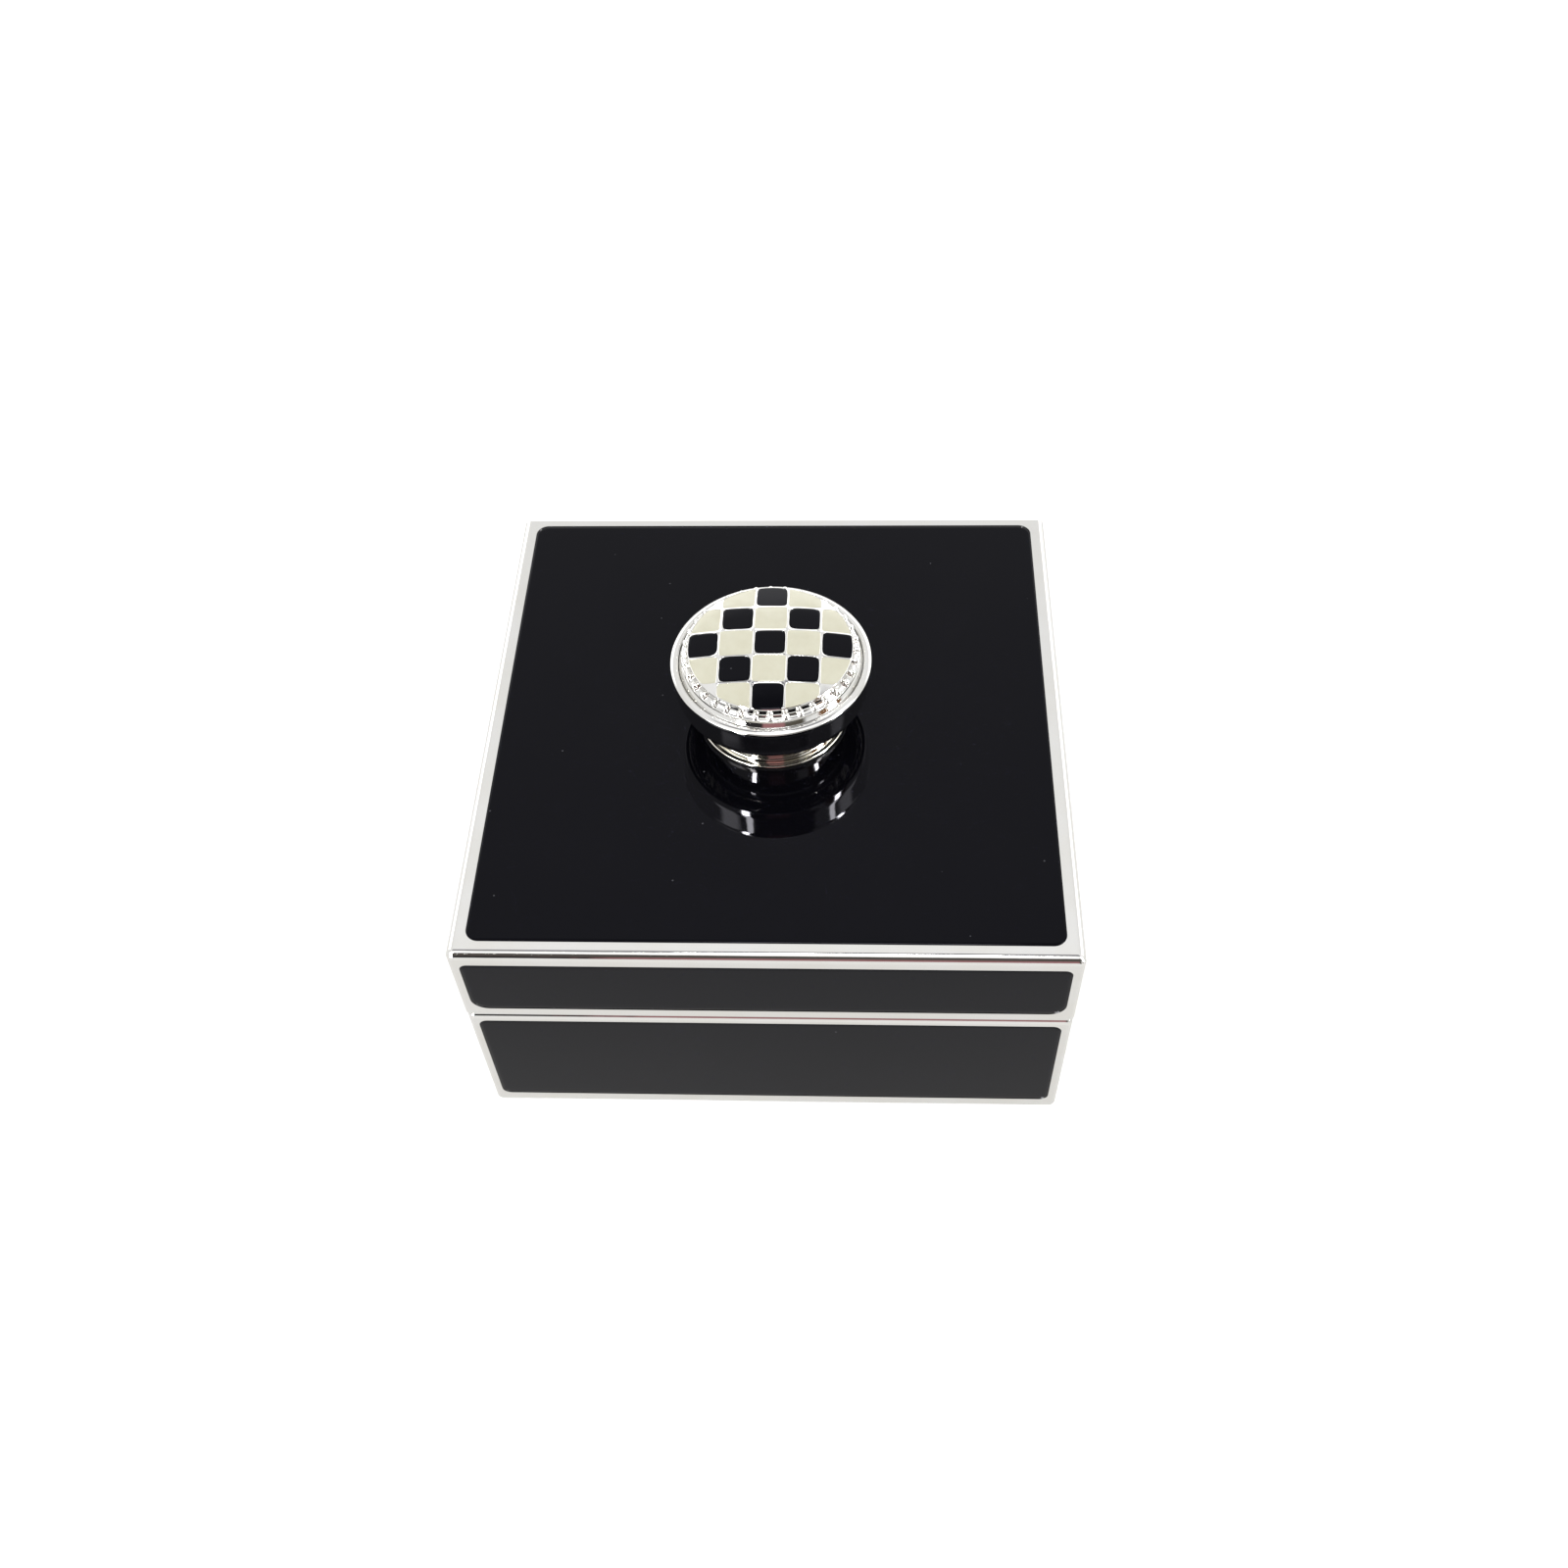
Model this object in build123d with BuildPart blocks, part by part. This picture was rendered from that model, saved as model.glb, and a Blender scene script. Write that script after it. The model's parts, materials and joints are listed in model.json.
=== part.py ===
from build123d import *
import os

os.makedirs("parts", exist_ok=True)

# Square dressing-table powder box with a lift-off lid. Millimetres, +Z up, front towards -Y.
# The origin is at the centre of the underside, on the surface that the box stands on.

# Driving dimensions
BOX_WIDTH = 90.0  # lid, outside, both ways
BASE_INSET = 0.1  # how far the base stands in from the lid, per side
BASE_TOP = 27.5  # seam between base and lid
LID_TOP = 44.0
CLEARANCE = 0.3  # between the lid and the rim that it slides over

# Shells
UPRIGHT_CORNER = 1.0
LID_EDGE_ROUND = 1.2
BASE_EDGE_ROUND = 0.6  # around the underside
BASE_SEAM_ROUND, LID_SEAM_ROUND = 1.2, 0.4  # either side of the seam
INSIDE_CORNER = 1.6
LID_WALL = 2.35
LID_ROOF = 2.3
BASE_FLOOR = 2.6  # inside height of the base's floor

# Enamel recesses
ENAMEL_DEPTH = 0.5
TOP_PANEL_HALF = 42.5
TOP_PANEL_CORNER = 2.0
SIDE_PANEL_HALF = 43.4
LID_PANEL_LOW, LID_PANEL_HIGH = 29.5, 41.5
LID_PANEL_CORNER_LOW, LID_PANEL_CORNER_HIGH = 2.5, 1.2
BASE_PANEL_LOW, BASE_PANEL_HIGH = 2.6, 25.7
BASE_PANEL_CORNER = 1.4

# Felt pad, locating rim and tray
PAD_PROUD = 0.3  # felt pad below the base's metal edge
PAD_THICKNESS = 1.2
PAD_HALF = 40.0
PAD_CORNER = 3.0
RIM_THICKNESS = 0.9
RIM_PROUD = 4.0  # locating rim above the seam
RIM_LOW = 14.0
RIM_EDGE_ROUND = 0.3
TRAY_GAP = 0.1
TRAY_WALL = 1.4
TRAY_DECK = 21.5  # top face of the tray's deck
WELL_RADIUS = 36.6
WELL_FLOOR = 12.6
WELL_LIP_ROUND = 0.5

# Powder pan and powder
PAN_RADIUS = 36.2
PAN_HEIGHT = 7.4
PAN_WALL = 0.5
PAN_CORNER = 1.6
PAN_LIFT = 0.05  # pan above the well's floor
POWDER_BELOW_PAN = 1.0
POWDER_DOME = 0.8
POWDER_RINGS = (20.0, 30.0)
POWDER_RING_WIDTH = 1.0
POWDER_RING_DEPTH = 0.35

# Puff and its ribbon
PUFF_RADIUS = 33.0
PUFF_THICKNESS = 7.0
PUFF_EDGE_ROUND = 3.0
PUFF_GAP = 0.3  # puff above the highest powder
RIBBON_WIDTH = 12.0
RIBBON_THICKNESS = 0.6
RIBBON_HALF = 24.0
RIBBON_ARCH_HALF = 17.0
RIBBON_ARCH = 1.5

# Mirror in the lid
BACKING_THICKNESS = 2.4
BACKING_HOLE_RADIUS = 5.6
MIRROR_THICKNESS = 1.5
MIRROR_HALF = 36.2
MIRROR_CORNER = 3.0
BEZEL_GAP = 0.1
BEZEL_WALL = 2.2
BEZEL_LIP = 1.4
BEZEL_LIP_THICKNESS = 0.7
BEZEL_CHAMFER = 0.4

# Knob: radii, and heights above the lid's top face
FOOT_STEPS = ((11.6, 0.9), (10.8, 1.7), (10.1, 2.5))
FOOT_ROUND = 0.25
NECK_RADIUS, NECK_LOW, NECK_HIGH = 9.1, 2.5, 3.7
NECK_BULGE, NECK_WAIST = (9.75, 4.7), (10.0, 6.0)
NECK_FLARE, CEILING_START = (10.15, 7.3), (10.9, 8.1)
CEILING_END, SKIRT_INSIDE = (13.0, 8.1), (13.35, 7.3)
SKIRT_BOTTOM, SKIRT_OUTSIDE = (14.1, 6.95), (14.55, 7.3)
WALL_LOW, WALL_HIGH = (14.75, 8.0), (15.0, 11.7)
LIP_SIDE, LIP_CREST = (15.2, 12.35), (14.55, 12.97)
LIP_SHOULDER, LIP_INNER = (14.2, 12.88), (13.95, 12.55)
RECESS_FLOOR = 9.0
MEDALLION_RADIUS, MEDALLION_SIDE = 13.85, 12.4
SHOULDER_RADIUS, LEDGE = 13.4, 13.75
DOME_RADIUS, DOME_CROWN = 66.0, 16.4
DOME_EDGE = 12.45
CELL_PITCH = 5.06
CELL_WALL = 0.36
CELL_CORNER = 0.6
CELL_DEPTH = 0.6
CELL_FIELD_RADIUS = 12.3
BEAD_COUNT = 36
BEAD_START_ANGLE = 2.0
BEAD_RADIUS = 0.52
BEAD_CIRCLE_RADIUS = 12.98
BEAD_HEIGHT = 14.12
BEAD_BAND_HALF_WIDTH = 0.4
BEAD_BAND_THICKNESS = 0.6

# Screw that holds the knob
SCREW_RADIUS = 1.95
THREAD_GAP = 0.05
SCREW_HOLE_RADIUS = 2.2
SCREW_REACH = 7.0  # above the lid's top face
SCREW_HEAD_RADIUS, SCREW_HEAD_HEIGHT = 3.9, 1.7
SLOT_WIDTH, SLOT_DEPTH = 1.0, 0.7
WASHER_RADIUS, WASHER_THICKNESS = 4.8, 0.5

# Sizes that follow from them
lid_half = BOX_WIDTH / 2
base_half = lid_half - BASE_INSET
lid_inner_half = lid_half - LID_WALL
rim_outer_half = lid_inner_half - CLEARANCE
rim_inner_half = rim_outer_half - RIM_THICKNESS
tray_half = rim_inner_half - TRAY_GAP
ceiling = LID_TOP - LID_ROOF
mirror_back = ceiling - BACKING_THICKNESS
mirror_face = mirror_back - MIRROR_THICKNESS
bezel_face = mirror_face - BEZEL_LIP_THICKNESS
bezel_inner_half = MIRROR_HALF + BEZEL_GAP
bezel_outer_half = bezel_inner_half + BEZEL_WALL
pan_floor = WELL_FLOOR + PAN_LIFT
pan_top = pan_floor + PAN_HEIGHT
powder_radius = PAN_RADIUS - PAN_WALL
powder_floor = pan_floor + PAN_WALL
powder_edge = pan_top - POWDER_BELOW_PAN
powder_crown = powder_edge + POWDER_DOME
powder_sphere = (powder_radius**2 + POWDER_DOME**2) / (2 * POWDER_DOME)
puff_low = powder_crown + PUFF_GAP
puff_high = puff_low + PUFF_THICKNESS
washer_low = ceiling - WASHER_THICKNESS
head_low = washer_low - SCREW_HEAD_HEIGHT

# The four upright sides, each as an outward-facing plane through the origin with local Y upwards
SIDES = {
    "front": Plane(origin=(0, 0, 0), x_dir=(1, 0, 0), z_dir=(0, -1, 0)),
    "right": Plane(origin=(0, 0, 0), x_dir=(0, 1, 0), z_dir=(1, 0, 0)),
    "back": Plane(origin=(0, 0, 0), x_dir=(-1, 0, 0), z_dir=(0, 1, 0)),
    "left": Plane(origin=(0, 0, 0), x_dir=(0, -1, 0), z_dir=(-1, 0, 0)),
}

# Half of a section through the knob and the round parts: local X is the radius, local Y the height
SECTION = Plane.XZ
KNOB_SECTION = Plane(origin=(0, 0, LID_TOP), x_dir=(1, 0, 0), z_dir=(0, -1, 0))


def finish(part, name):
    part.label = name
    export_step(part, f"parts/{name}.step")


def panel_outline(low, high, corner_low, corner_high):
    """The face of a side panel: a rectangle whose lower and upper corners have their own radii."""
    with BuildSketch() as outline:
        with Locations((0, (low + high) / 2)):
            Rectangle(2 * SIDE_PANEL_HALF, high - low)
        fillet(outline.vertices().group_by(Axis.Y)[0], radius=corner_low)
        fillet(outline.vertices().group_by(Axis.Y)[-1], radius=corner_high)
    return outline.sketch


def crown_arc(crown, sphere_radius, reach):
    """An arc in a section, from a crown on the axis out to a radius, as part of a sphere."""
    centre = crown - sphere_radius
    heights = [(radius, centre + (sphere_radius**2 - radius**2) ** 0.5) for radius in (0, reach / 2, reach)]
    return ThreePointArc(*heights)


lid_panel = panel_outline(LID_PANEL_LOW, LID_PANEL_HIGH, LID_PANEL_CORNER_LOW, LID_PANEL_CORNER_HIGH)
base_panel = panel_outline(BASE_PANEL_LOW, BASE_PANEL_HIGH, BASE_PANEL_CORNER, BASE_PANEL_CORNER)

# Base shell: a square cup, recessed on four sides for the enamel and underneath for the felt pad
with BuildPart() as base_shell:
    with BuildSketch(Plane.XY.offset(PAD_PROUD)):
        RectangleRounded(2 * base_half, 2 * base_half, UPRIGHT_CORNER)
    extrude(amount=BASE_TOP - PAD_PROUD)
    fillet(base_shell.faces().sort_by(Axis.Z)[-1].edges(), radius=BASE_SEAM_ROUND)
    fillet(base_shell.faces().sort_by(Axis.Z)[0].edges(), radius=BASE_EDGE_ROUND)
    with BuildSketch(Plane.XY.offset(BASE_FLOOR)):
        RectangleRounded(2 * rim_outer_half, 2 * rim_outer_half, INSIDE_CORNER)
    extrude(amount=BASE_TOP, mode=Mode.SUBTRACT)
    with BuildSketch(Plane.XY.offset(PAD_PROUD)):
        RectangleRounded(2 * PAD_HALF, 2 * PAD_HALF, PAD_CORNER)
    extrude(amount=PAD_THICKNESS - PAD_PROUD, mode=Mode.SUBTRACT)
    for side in SIDES.values():
        with BuildSketch(side.offset(base_half - ENAMEL_DEPTH)):
            add(base_panel)
        extrude(amount=2 * ENAMEL_DEPTH, mode=Mode.SUBTRACT)
finish(base_shell.part, "base_shell")

# Enamel fills of the base's and the lid's sides, flush with the metal borders around them
for shell_name, shell_half, outline in (("base", base_half, base_panel), ("lid", lid_half, lid_panel)):
    for side_name, side in SIDES.items():
        with BuildPart() as side_enamel:
            with BuildSketch(side.offset(shell_half - ENAMEL_DEPTH)):
                add(outline)
            extrude(amount=ENAMEL_DEPTH)
        finish(side_enamel.part, f"{shell_name}_enamel_{side_name}")

# Felt pad: fills the recess underneath and stands a little below the metal
with BuildPart() as base_felt_pad:
    with BuildSketch():
        RectangleRounded(2 * PAD_HALF, 2 * PAD_HALF, PAD_CORNER)
    extrude(amount=PAD_THICKNESS)
finish(base_felt_pad.part, "base_felt_pad")

# Locating rim: a thin square band inside the base's wall, which the lid slides over
with BuildPart() as locating_rim:
    with BuildSketch(Plane.XY.offset(RIM_LOW)):
        RectangleRounded(2 * rim_outer_half, 2 * rim_outer_half, INSIDE_CORNER)
        RectangleRounded(
            2 * rim_inner_half, 2 * rim_inner_half, INSIDE_CORNER - RIM_THICKNESS, mode=Mode.SUBTRACT
        )
    extrude(amount=BASE_TOP + RIM_PROUD - RIM_LOW)
    fillet(locating_rim.faces().sort_by(Axis.Z)[-1].edges(), radius=RIM_EDGE_ROUND)
finish(locating_rim.part, "locating_rim")

# Powder tray: a deck, a skirt down to the base's floor and a round well, open underneath
with BuildPart() as powder_tray:
    with BuildSketch(Plane.XY.offset(BASE_FLOOR)):
        RectangleRounded(2 * tray_half, 2 * tray_half, INSIDE_CORNER - RIM_THICKNESS)
    extrude(amount=TRAY_DECK - BASE_FLOOR)
    with BuildSketch(Plane.XY.offset(BASE_FLOOR)):
        Rectangle(2 * (tray_half - TRAY_WALL), 2 * (tray_half - TRAY_WALL))
    extrude(amount=TRAY_DECK - TRAY_WALL - BASE_FLOOR, mode=Mode.SUBTRACT)
    with BuildSketch(Plane.XY.offset(WELL_FLOOR - TRAY_WALL)):
        Circle(WELL_RADIUS + TRAY_WALL)
    extrude(amount=TRAY_DECK - WELL_FLOOR + TRAY_WALL)
    with BuildSketch(Plane.XY.offset(WELL_FLOOR)):
        Circle(WELL_RADIUS)
    extrude(amount=TRAY_DECK, mode=Mode.SUBTRACT)
    deck_edges = powder_tray.faces().sort_by(Axis.Z)[-1].edges()
    fillet(deck_edges.filter_by(GeomType.CIRCLE).sort_by(SortBy.RADIUS)[-1], radius=WELL_LIP_ROUND)
finish(powder_tray.part, "powder_tray")

# Powder pan: a shallow pressed cup with a rounded bottom corner
with BuildPart() as powder_pan:
    with BuildSketch(SECTION) as pan_section:
        with BuildLine():
            Polyline(
                (0, pan_floor),
                (PAN_RADIUS, pan_floor),
                (PAN_RADIUS, pan_top),
                (powder_radius, pan_top),
                (powder_radius, powder_floor),
                (0, powder_floor),
                close=True,
            )
        make_face()
        fillet(pan_section.vertices().sort_by_distance((PAN_RADIUS, pan_floor))[0], radius=PAN_CORNER)
        fillet(
            pan_section.vertices().sort_by_distance((powder_radius, powder_floor))[0],
            radius=PAN_CORNER - PAN_WALL,
        )
    revolve(axis=Axis.Z)
finish(powder_pan.part, "powder_pan")

# Pressed powder: fills the pan, with a slightly domed top and two pressed rings
with BuildPart() as pressed_powder:
    with BuildSketch(SECTION) as powder_section:
        with BuildLine():
            powder_top = crown_arc(powder_crown, powder_sphere, powder_radius)
            Polyline(powder_top @ 1, (powder_radius, powder_floor), (0, powder_floor), powder_top @ 0)
        make_face()
        fillet(
            powder_section.vertices().sort_by_distance((powder_radius, powder_floor))[0],
            radius=PAN_CORNER - PAN_WALL,
        )
        with Locations(*[(ring, powder_crown) for ring in POWDER_RINGS]):
            Rectangle(POWDER_RING_WIDTH, 4 * POWDER_RING_DEPTH, mode=Mode.SUBTRACT)
    revolve(axis=Axis.Z)
finish(pressed_powder.part, "pressed_powder")

# Puff: a soft disc with a full round edge
with BuildPart() as puff:
    with BuildSketch(Plane.XY.offset(puff_low)):
        Circle(PUFF_RADIUS)
    extrude(amount=PUFF_THICKNESS)
    fillet(puff.edges().filter_by(GeomType.CIRCLE), radius=PUFF_EDGE_ROUND)
finish(puff.part, "puff")

# Ribbon: a satin band across the puff, flat at its ends and arched in the middle for the fingers
with BuildPart() as puff_ribbon:
    with BuildSketch(SECTION.offset(-RIBBON_WIDTH / 2)):
        with BuildLine():
            Line((-RIBBON_HALF, puff_high), (-RIBBON_ARCH_HALF, puff_high))
            ThreePointArc(
                (-RIBBON_ARCH_HALF, puff_high),
                (0, puff_high + RIBBON_ARCH),
                (RIBBON_ARCH_HALF, puff_high),
            )
            Polyline(
                (RIBBON_ARCH_HALF, puff_high),
                (RIBBON_HALF, puff_high),
                (RIBBON_HALF, puff_high + RIBBON_THICKNESS),
                (RIBBON_ARCH_HALF, puff_high + RIBBON_THICKNESS),
            )
            ThreePointArc(
                (RIBBON_ARCH_HALF, puff_high + RIBBON_THICKNESS),
                (0, puff_high + RIBBON_ARCH + RIBBON_THICKNESS),
                (-RIBBON_ARCH_HALF, puff_high + RIBBON_THICKNESS),
            )
            Polyline(
                (-RIBBON_ARCH_HALF, puff_high + RIBBON_THICKNESS),
                (-RIBBON_HALF, puff_high + RIBBON_THICKNESS),
                (-RIBBON_HALF, puff_high),
            )
        make_face()
    extrude(amount=RIBBON_WIDTH)
finish(puff_ribbon.part, "puff_ribbon")

# Lid shell: a square cap, recessed on top and on four sides, with a hole for the knob's screw
with BuildPart() as lid_shell:
    with BuildSketch(Plane.XY.offset(BASE_TOP)):
        RectangleRounded(2 * lid_half, 2 * lid_half, UPRIGHT_CORNER)
    extrude(amount=LID_TOP - BASE_TOP)
    fillet(lid_shell.faces().sort_by(Axis.Z)[-1].edges(), radius=LID_EDGE_ROUND)
    fillet(lid_shell.faces().sort_by(Axis.Z)[0].edges(), radius=LID_SEAM_ROUND)
    with BuildSketch(Plane.XY.offset(BASE_TOP)):
        RectangleRounded(2 * lid_inner_half, 2 * lid_inner_half, INSIDE_CORNER)
    extrude(amount=ceiling - BASE_TOP, mode=Mode.SUBTRACT)
    with BuildSketch(Plane.XY.offset(LID_TOP - ENAMEL_DEPTH)):
        RectangleRounded(2 * TOP_PANEL_HALF, 2 * TOP_PANEL_HALF, TOP_PANEL_CORNER)
    extrude(amount=2 * ENAMEL_DEPTH, mode=Mode.SUBTRACT)
    for side in SIDES.values():
        with BuildSketch(side.offset(lid_half - ENAMEL_DEPTH)):
            add(lid_panel)
        extrude(amount=2 * ENAMEL_DEPTH, mode=Mode.SUBTRACT)
    with Locations((0, 0, ceiling)):
        Hole(SCREW_HOLE_RADIUS)
finish(lid_shell.part, "lid_shell")

# Top enamel: flush with its border, with a hole where the screw passes
with BuildPart() as lid_enamel_top:
    with BuildSketch(Plane.XY.offset(LID_TOP - ENAMEL_DEPTH)):
        RectangleRounded(2 * TOP_PANEL_HALF, 2 * TOP_PANEL_HALF, TOP_PANEL_CORNER)
        Circle(SCREW_HOLE_RADIUS, mode=Mode.SUBTRACT)
    extrude(amount=ENAMEL_DEPTH)
finish(lid_enamel_top.part, "lid_enamel_top")

# Backing board between the lid's ceiling and the mirror, with a hole around the screw's head
with BuildPart() as mirror_backing:
    with BuildSketch(Plane.XY.offset(mirror_back)):
        RectangleRounded(2 * MIRROR_HALF, 2 * MIRROR_HALF, MIRROR_CORNER)
        Circle(BACKING_HOLE_RADIUS, mode=Mode.SUBTRACT)
    extrude(amount=BACKING_THICKNESS)
finish(mirror_backing.part, "mirror_backing")

# Mirror glass
with BuildPart() as mirror:
    with BuildSketch(Plane.XY.offset(mirror_face)):
        RectangleRounded(2 * MIRROR_HALF, 2 * MIRROR_HALF, MIRROR_CORNER)
    extrude(amount=MIRROR_THICKNESS)
finish(mirror.part, "mirror")

# Bezel: a frame glued to the lid's ceiling, whose lip holds the mirror's edge
with BuildPart() as mirror_bezel:
    lip_half = MIRROR_HALF - BEZEL_LIP
    with BuildSketch(Plane.XY.offset(bezel_face)):
        RectangleRounded(2 * bezel_outer_half, 2 * bezel_outer_half, MIRROR_CORNER + BEZEL_WALL)
    extrude(amount=ceiling - bezel_face)
    with BuildSketch(Plane.XY.offset(mirror_face)):
        RectangleRounded(2 * bezel_inner_half, 2 * bezel_inner_half, MIRROR_CORNER)
    extrude(amount=BACKING_THICKNESS + MIRROR_THICKNESS, mode=Mode.SUBTRACT)
    with BuildSketch(Plane.XY.offset(bezel_face)):
        RectangleRounded(2 * lip_half, 2 * lip_half, MIRROR_CORNER - BEZEL_LIP)
    extrude(amount=BEZEL_LIP_THICKNESS, mode=Mode.SUBTRACT)
    chamfer(mirror_bezel.faces().sort_by(Axis.Z)[0].edges(), length=BEZEL_CHAMFER)
finish(mirror_bezel.part, "mirror_bezel")

# Knob foot: three turned steps that stand on the lid
with BuildPart() as knob_foot:
    with BuildSketch(KNOB_SECTION) as foot_section:
        step_low = 0.0
        for step_radius, step_high in FOOT_STEPS:
            with Locations((step_radius / 2, (step_low + step_high) / 2)):
                Rectangle(step_radius, step_high - step_low)
            step_low = step_high
        outer_corners = [
            foot_section.vertices().sort_by_distance((step_radius, step_high))[0]
            for step_radius, step_high in FOOT_STEPS
        ]
        fillet(outer_corners, radius=FOOT_ROUND)
    revolve(axis=Axis.Z)
    with Locations((0, 0, LID_TOP)):
        Hole(SCREW_HOLE_RADIUS)
finish(knob_foot.part, "knob_foot")

# Knob cup: a neck that swells and flares into a finger groove under the skirt, a nearly upright
# wall, a rounded lip and a recess on top
with BuildPart() as knob_cup:
    with BuildSketch(KNOB_SECTION):
        with BuildLine():
            Polyline((0, RECESS_FLOOR), (0, NECK_LOW), (NECK_RADIUS, NECK_LOW), (NECK_RADIUS, NECK_HIGH))
            ThreePointArc((NECK_RADIUS, NECK_HIGH), NECK_BULGE, NECK_WAIST)
            ThreePointArc(NECK_WAIST, NECK_FLARE, CEILING_START)
            Line(CEILING_START, CEILING_END)
            ThreePointArc(CEILING_END, SKIRT_INSIDE, SKIRT_BOTTOM)
            ThreePointArc(SKIRT_BOTTOM, SKIRT_OUTSIDE, WALL_LOW)
            Line(WALL_LOW, WALL_HIGH)
            ThreePointArc(WALL_HIGH, LIP_SIDE, LIP_CREST)
            ThreePointArc(LIP_CREST, LIP_SHOULDER, LIP_INNER)
            Polyline(LIP_INNER, (LIP_INNER[0], RECESS_FLOOR), (0, RECESS_FLOOR))
        make_face()
    revolve(axis=Axis.Z)
    with BuildSketch(Plane.XY.offset(LID_TOP + NECK_LOW)):
        Circle(SCREW_RADIUS + THREAD_GAP)
    extrude(amount=SCREW_REACH + THREAD_GAP - NECK_LOW, mode=Mode.SUBTRACT)
finish(knob_cup.part, "knob_cup")

# Enamel of the knob: checks of two colours, cut from one thin layer that follows the dome.
# The cells whose centres are an even number of steps from the middle are black.
cells = [(column, row) for column in range(-2, 3) for row in range(-2, 3) if abs(column * row) < 4]
dark_cells = [cell for cell in cells if sum(cell) % 2 == 0]
light_cells = [cell for cell in cells if sum(cell) % 2 == 1]
enamels = []
for enamel_name, enamel_cells in (("knob_enamel_black", dark_cells), ("knob_enamel_cream", light_cells)):
    with BuildPart() as knob_enamel:
        with BuildSketch(KNOB_SECTION):
            with BuildLine():
                outer = crown_arc(DOME_CROWN, DOME_RADIUS, CELL_FIELD_RADIUS)
                inner = crown_arc(DOME_CROWN - CELL_DEPTH, DOME_RADIUS - CELL_DEPTH, CELL_FIELD_RADIUS)
                Line(outer @ 0, inner @ 0)
                Line(outer @ 1, inner @ 1)
            make_face()
        revolve(axis=Axis.Z)
        with BuildSketch(Plane.XY.offset(LID_TOP + LEDGE)):
            with Locations(*[(CELL_PITCH * column, CELL_PITCH * row) for column, row in enamel_cells]):
                RectangleRounded(CELL_PITCH - CELL_WALL, CELL_PITCH - CELL_WALL, CELL_CORNER)
        extrude(amount=DOME_CROWN, mode=Mode.INTERSECT)
    finish(knob_enamel.part, enamel_name)
    enamels.append(knob_enamel.part)

# Medallion: a domed plug in the cup, with a ledge for the beads and a pocket for each enamel cell
with BuildPart() as knob_medallion:
    with BuildSketch(KNOB_SECTION):
        with BuildLine():
            dome = crown_arc(DOME_CROWN, DOME_RADIUS, DOME_EDGE)
            Polyline(
                dome @ 1,
                (DOME_EDGE, LEDGE),
                (BEAD_CIRCLE_RADIUS - BEAD_BAND_HALF_WIDTH, LEDGE),
                (BEAD_CIRCLE_RADIUS - BEAD_BAND_HALF_WIDTH, LEDGE - BEAD_BAND_THICKNESS),
                (BEAD_CIRCLE_RADIUS + BEAD_BAND_HALF_WIDTH, LEDGE - BEAD_BAND_THICKNESS),
                (BEAD_CIRCLE_RADIUS + BEAD_BAND_HALF_WIDTH, LEDGE),
                (SHOULDER_RADIUS, LEDGE),
                (MEDALLION_RADIUS, MEDALLION_SIDE),
                (MEDALLION_RADIUS, RECESS_FLOOR),
                (0, RECESS_FLOOR),
                (0, DOME_CROWN),
            )
        make_face()
    revolve(axis=Axis.Z)
    add(enamels, mode=Mode.SUBTRACT)
finish(knob_medallion.part, "knob_medallion")

# Bead ring: a flat band in the medallion's groove, with a circle of round beads on it
with BuildPart() as knob_bead_ring:
    with BuildSketch(Plane.XY.offset(LID_TOP + LEDGE - BEAD_BAND_THICKNESS)):
        Circle(BEAD_CIRCLE_RADIUS + BEAD_BAND_HALF_WIDTH)
        Circle(BEAD_CIRCLE_RADIUS - BEAD_BAND_HALF_WIDTH, mode=Mode.SUBTRACT)
    extrude(amount=BEAD_BAND_THICKNESS)
    with Locations((0, 0, LID_TOP + BEAD_HEIGHT)):
        with PolarLocations(BEAD_CIRCLE_RADIUS, BEAD_COUNT, start_angle=BEAD_START_ANGLE):
            Sphere(BEAD_RADIUS)
finish(knob_bead_ring.part, "knob_bead_ring")

# Washer and slotted screw, which clamp the knob to the lid from inside
with BuildPart() as knob_washer:
    with BuildSketch(Plane.XY.offset(washer_low)):
        Circle(WASHER_RADIUS)
        Circle(SCREW_HOLE_RADIUS, mode=Mode.SUBTRACT)
    extrude(amount=WASHER_THICKNESS)
finish(knob_washer.part, "knob_washer")

with BuildPart() as knob_screw:
    with BuildSketch(Plane.XY.offset(head_low)):
        Circle(SCREW_HEAD_RADIUS)
    extrude(amount=SCREW_HEAD_HEIGHT)
    fillet(knob_screw.faces().sort_by(Axis.Z)[0].edges(), radius=SCREW_HEAD_HEIGHT / 3)
    with BuildSketch(Plane.XY.offset(washer_low)):
        Circle(SCREW_RADIUS)
    extrude(amount=LID_TOP + SCREW_REACH - washer_low)
    with BuildSketch(Plane.XY.offset(head_low)):
        Rectangle(3 * SCREW_HEAD_RADIUS, SLOT_WIDTH)
    extrude(amount=SLOT_DEPTH, mode=Mode.SUBTRACT)
finish(knob_screw.part, "knob_screw")
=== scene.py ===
"""Looks of the square powder box: enamel fills, checked knob, puff, powder, mirror and studio."""
import json
import math
import random

import bpy
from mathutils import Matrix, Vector, noise
from mathutils.geometry import delaunay_2d_cdt


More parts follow.
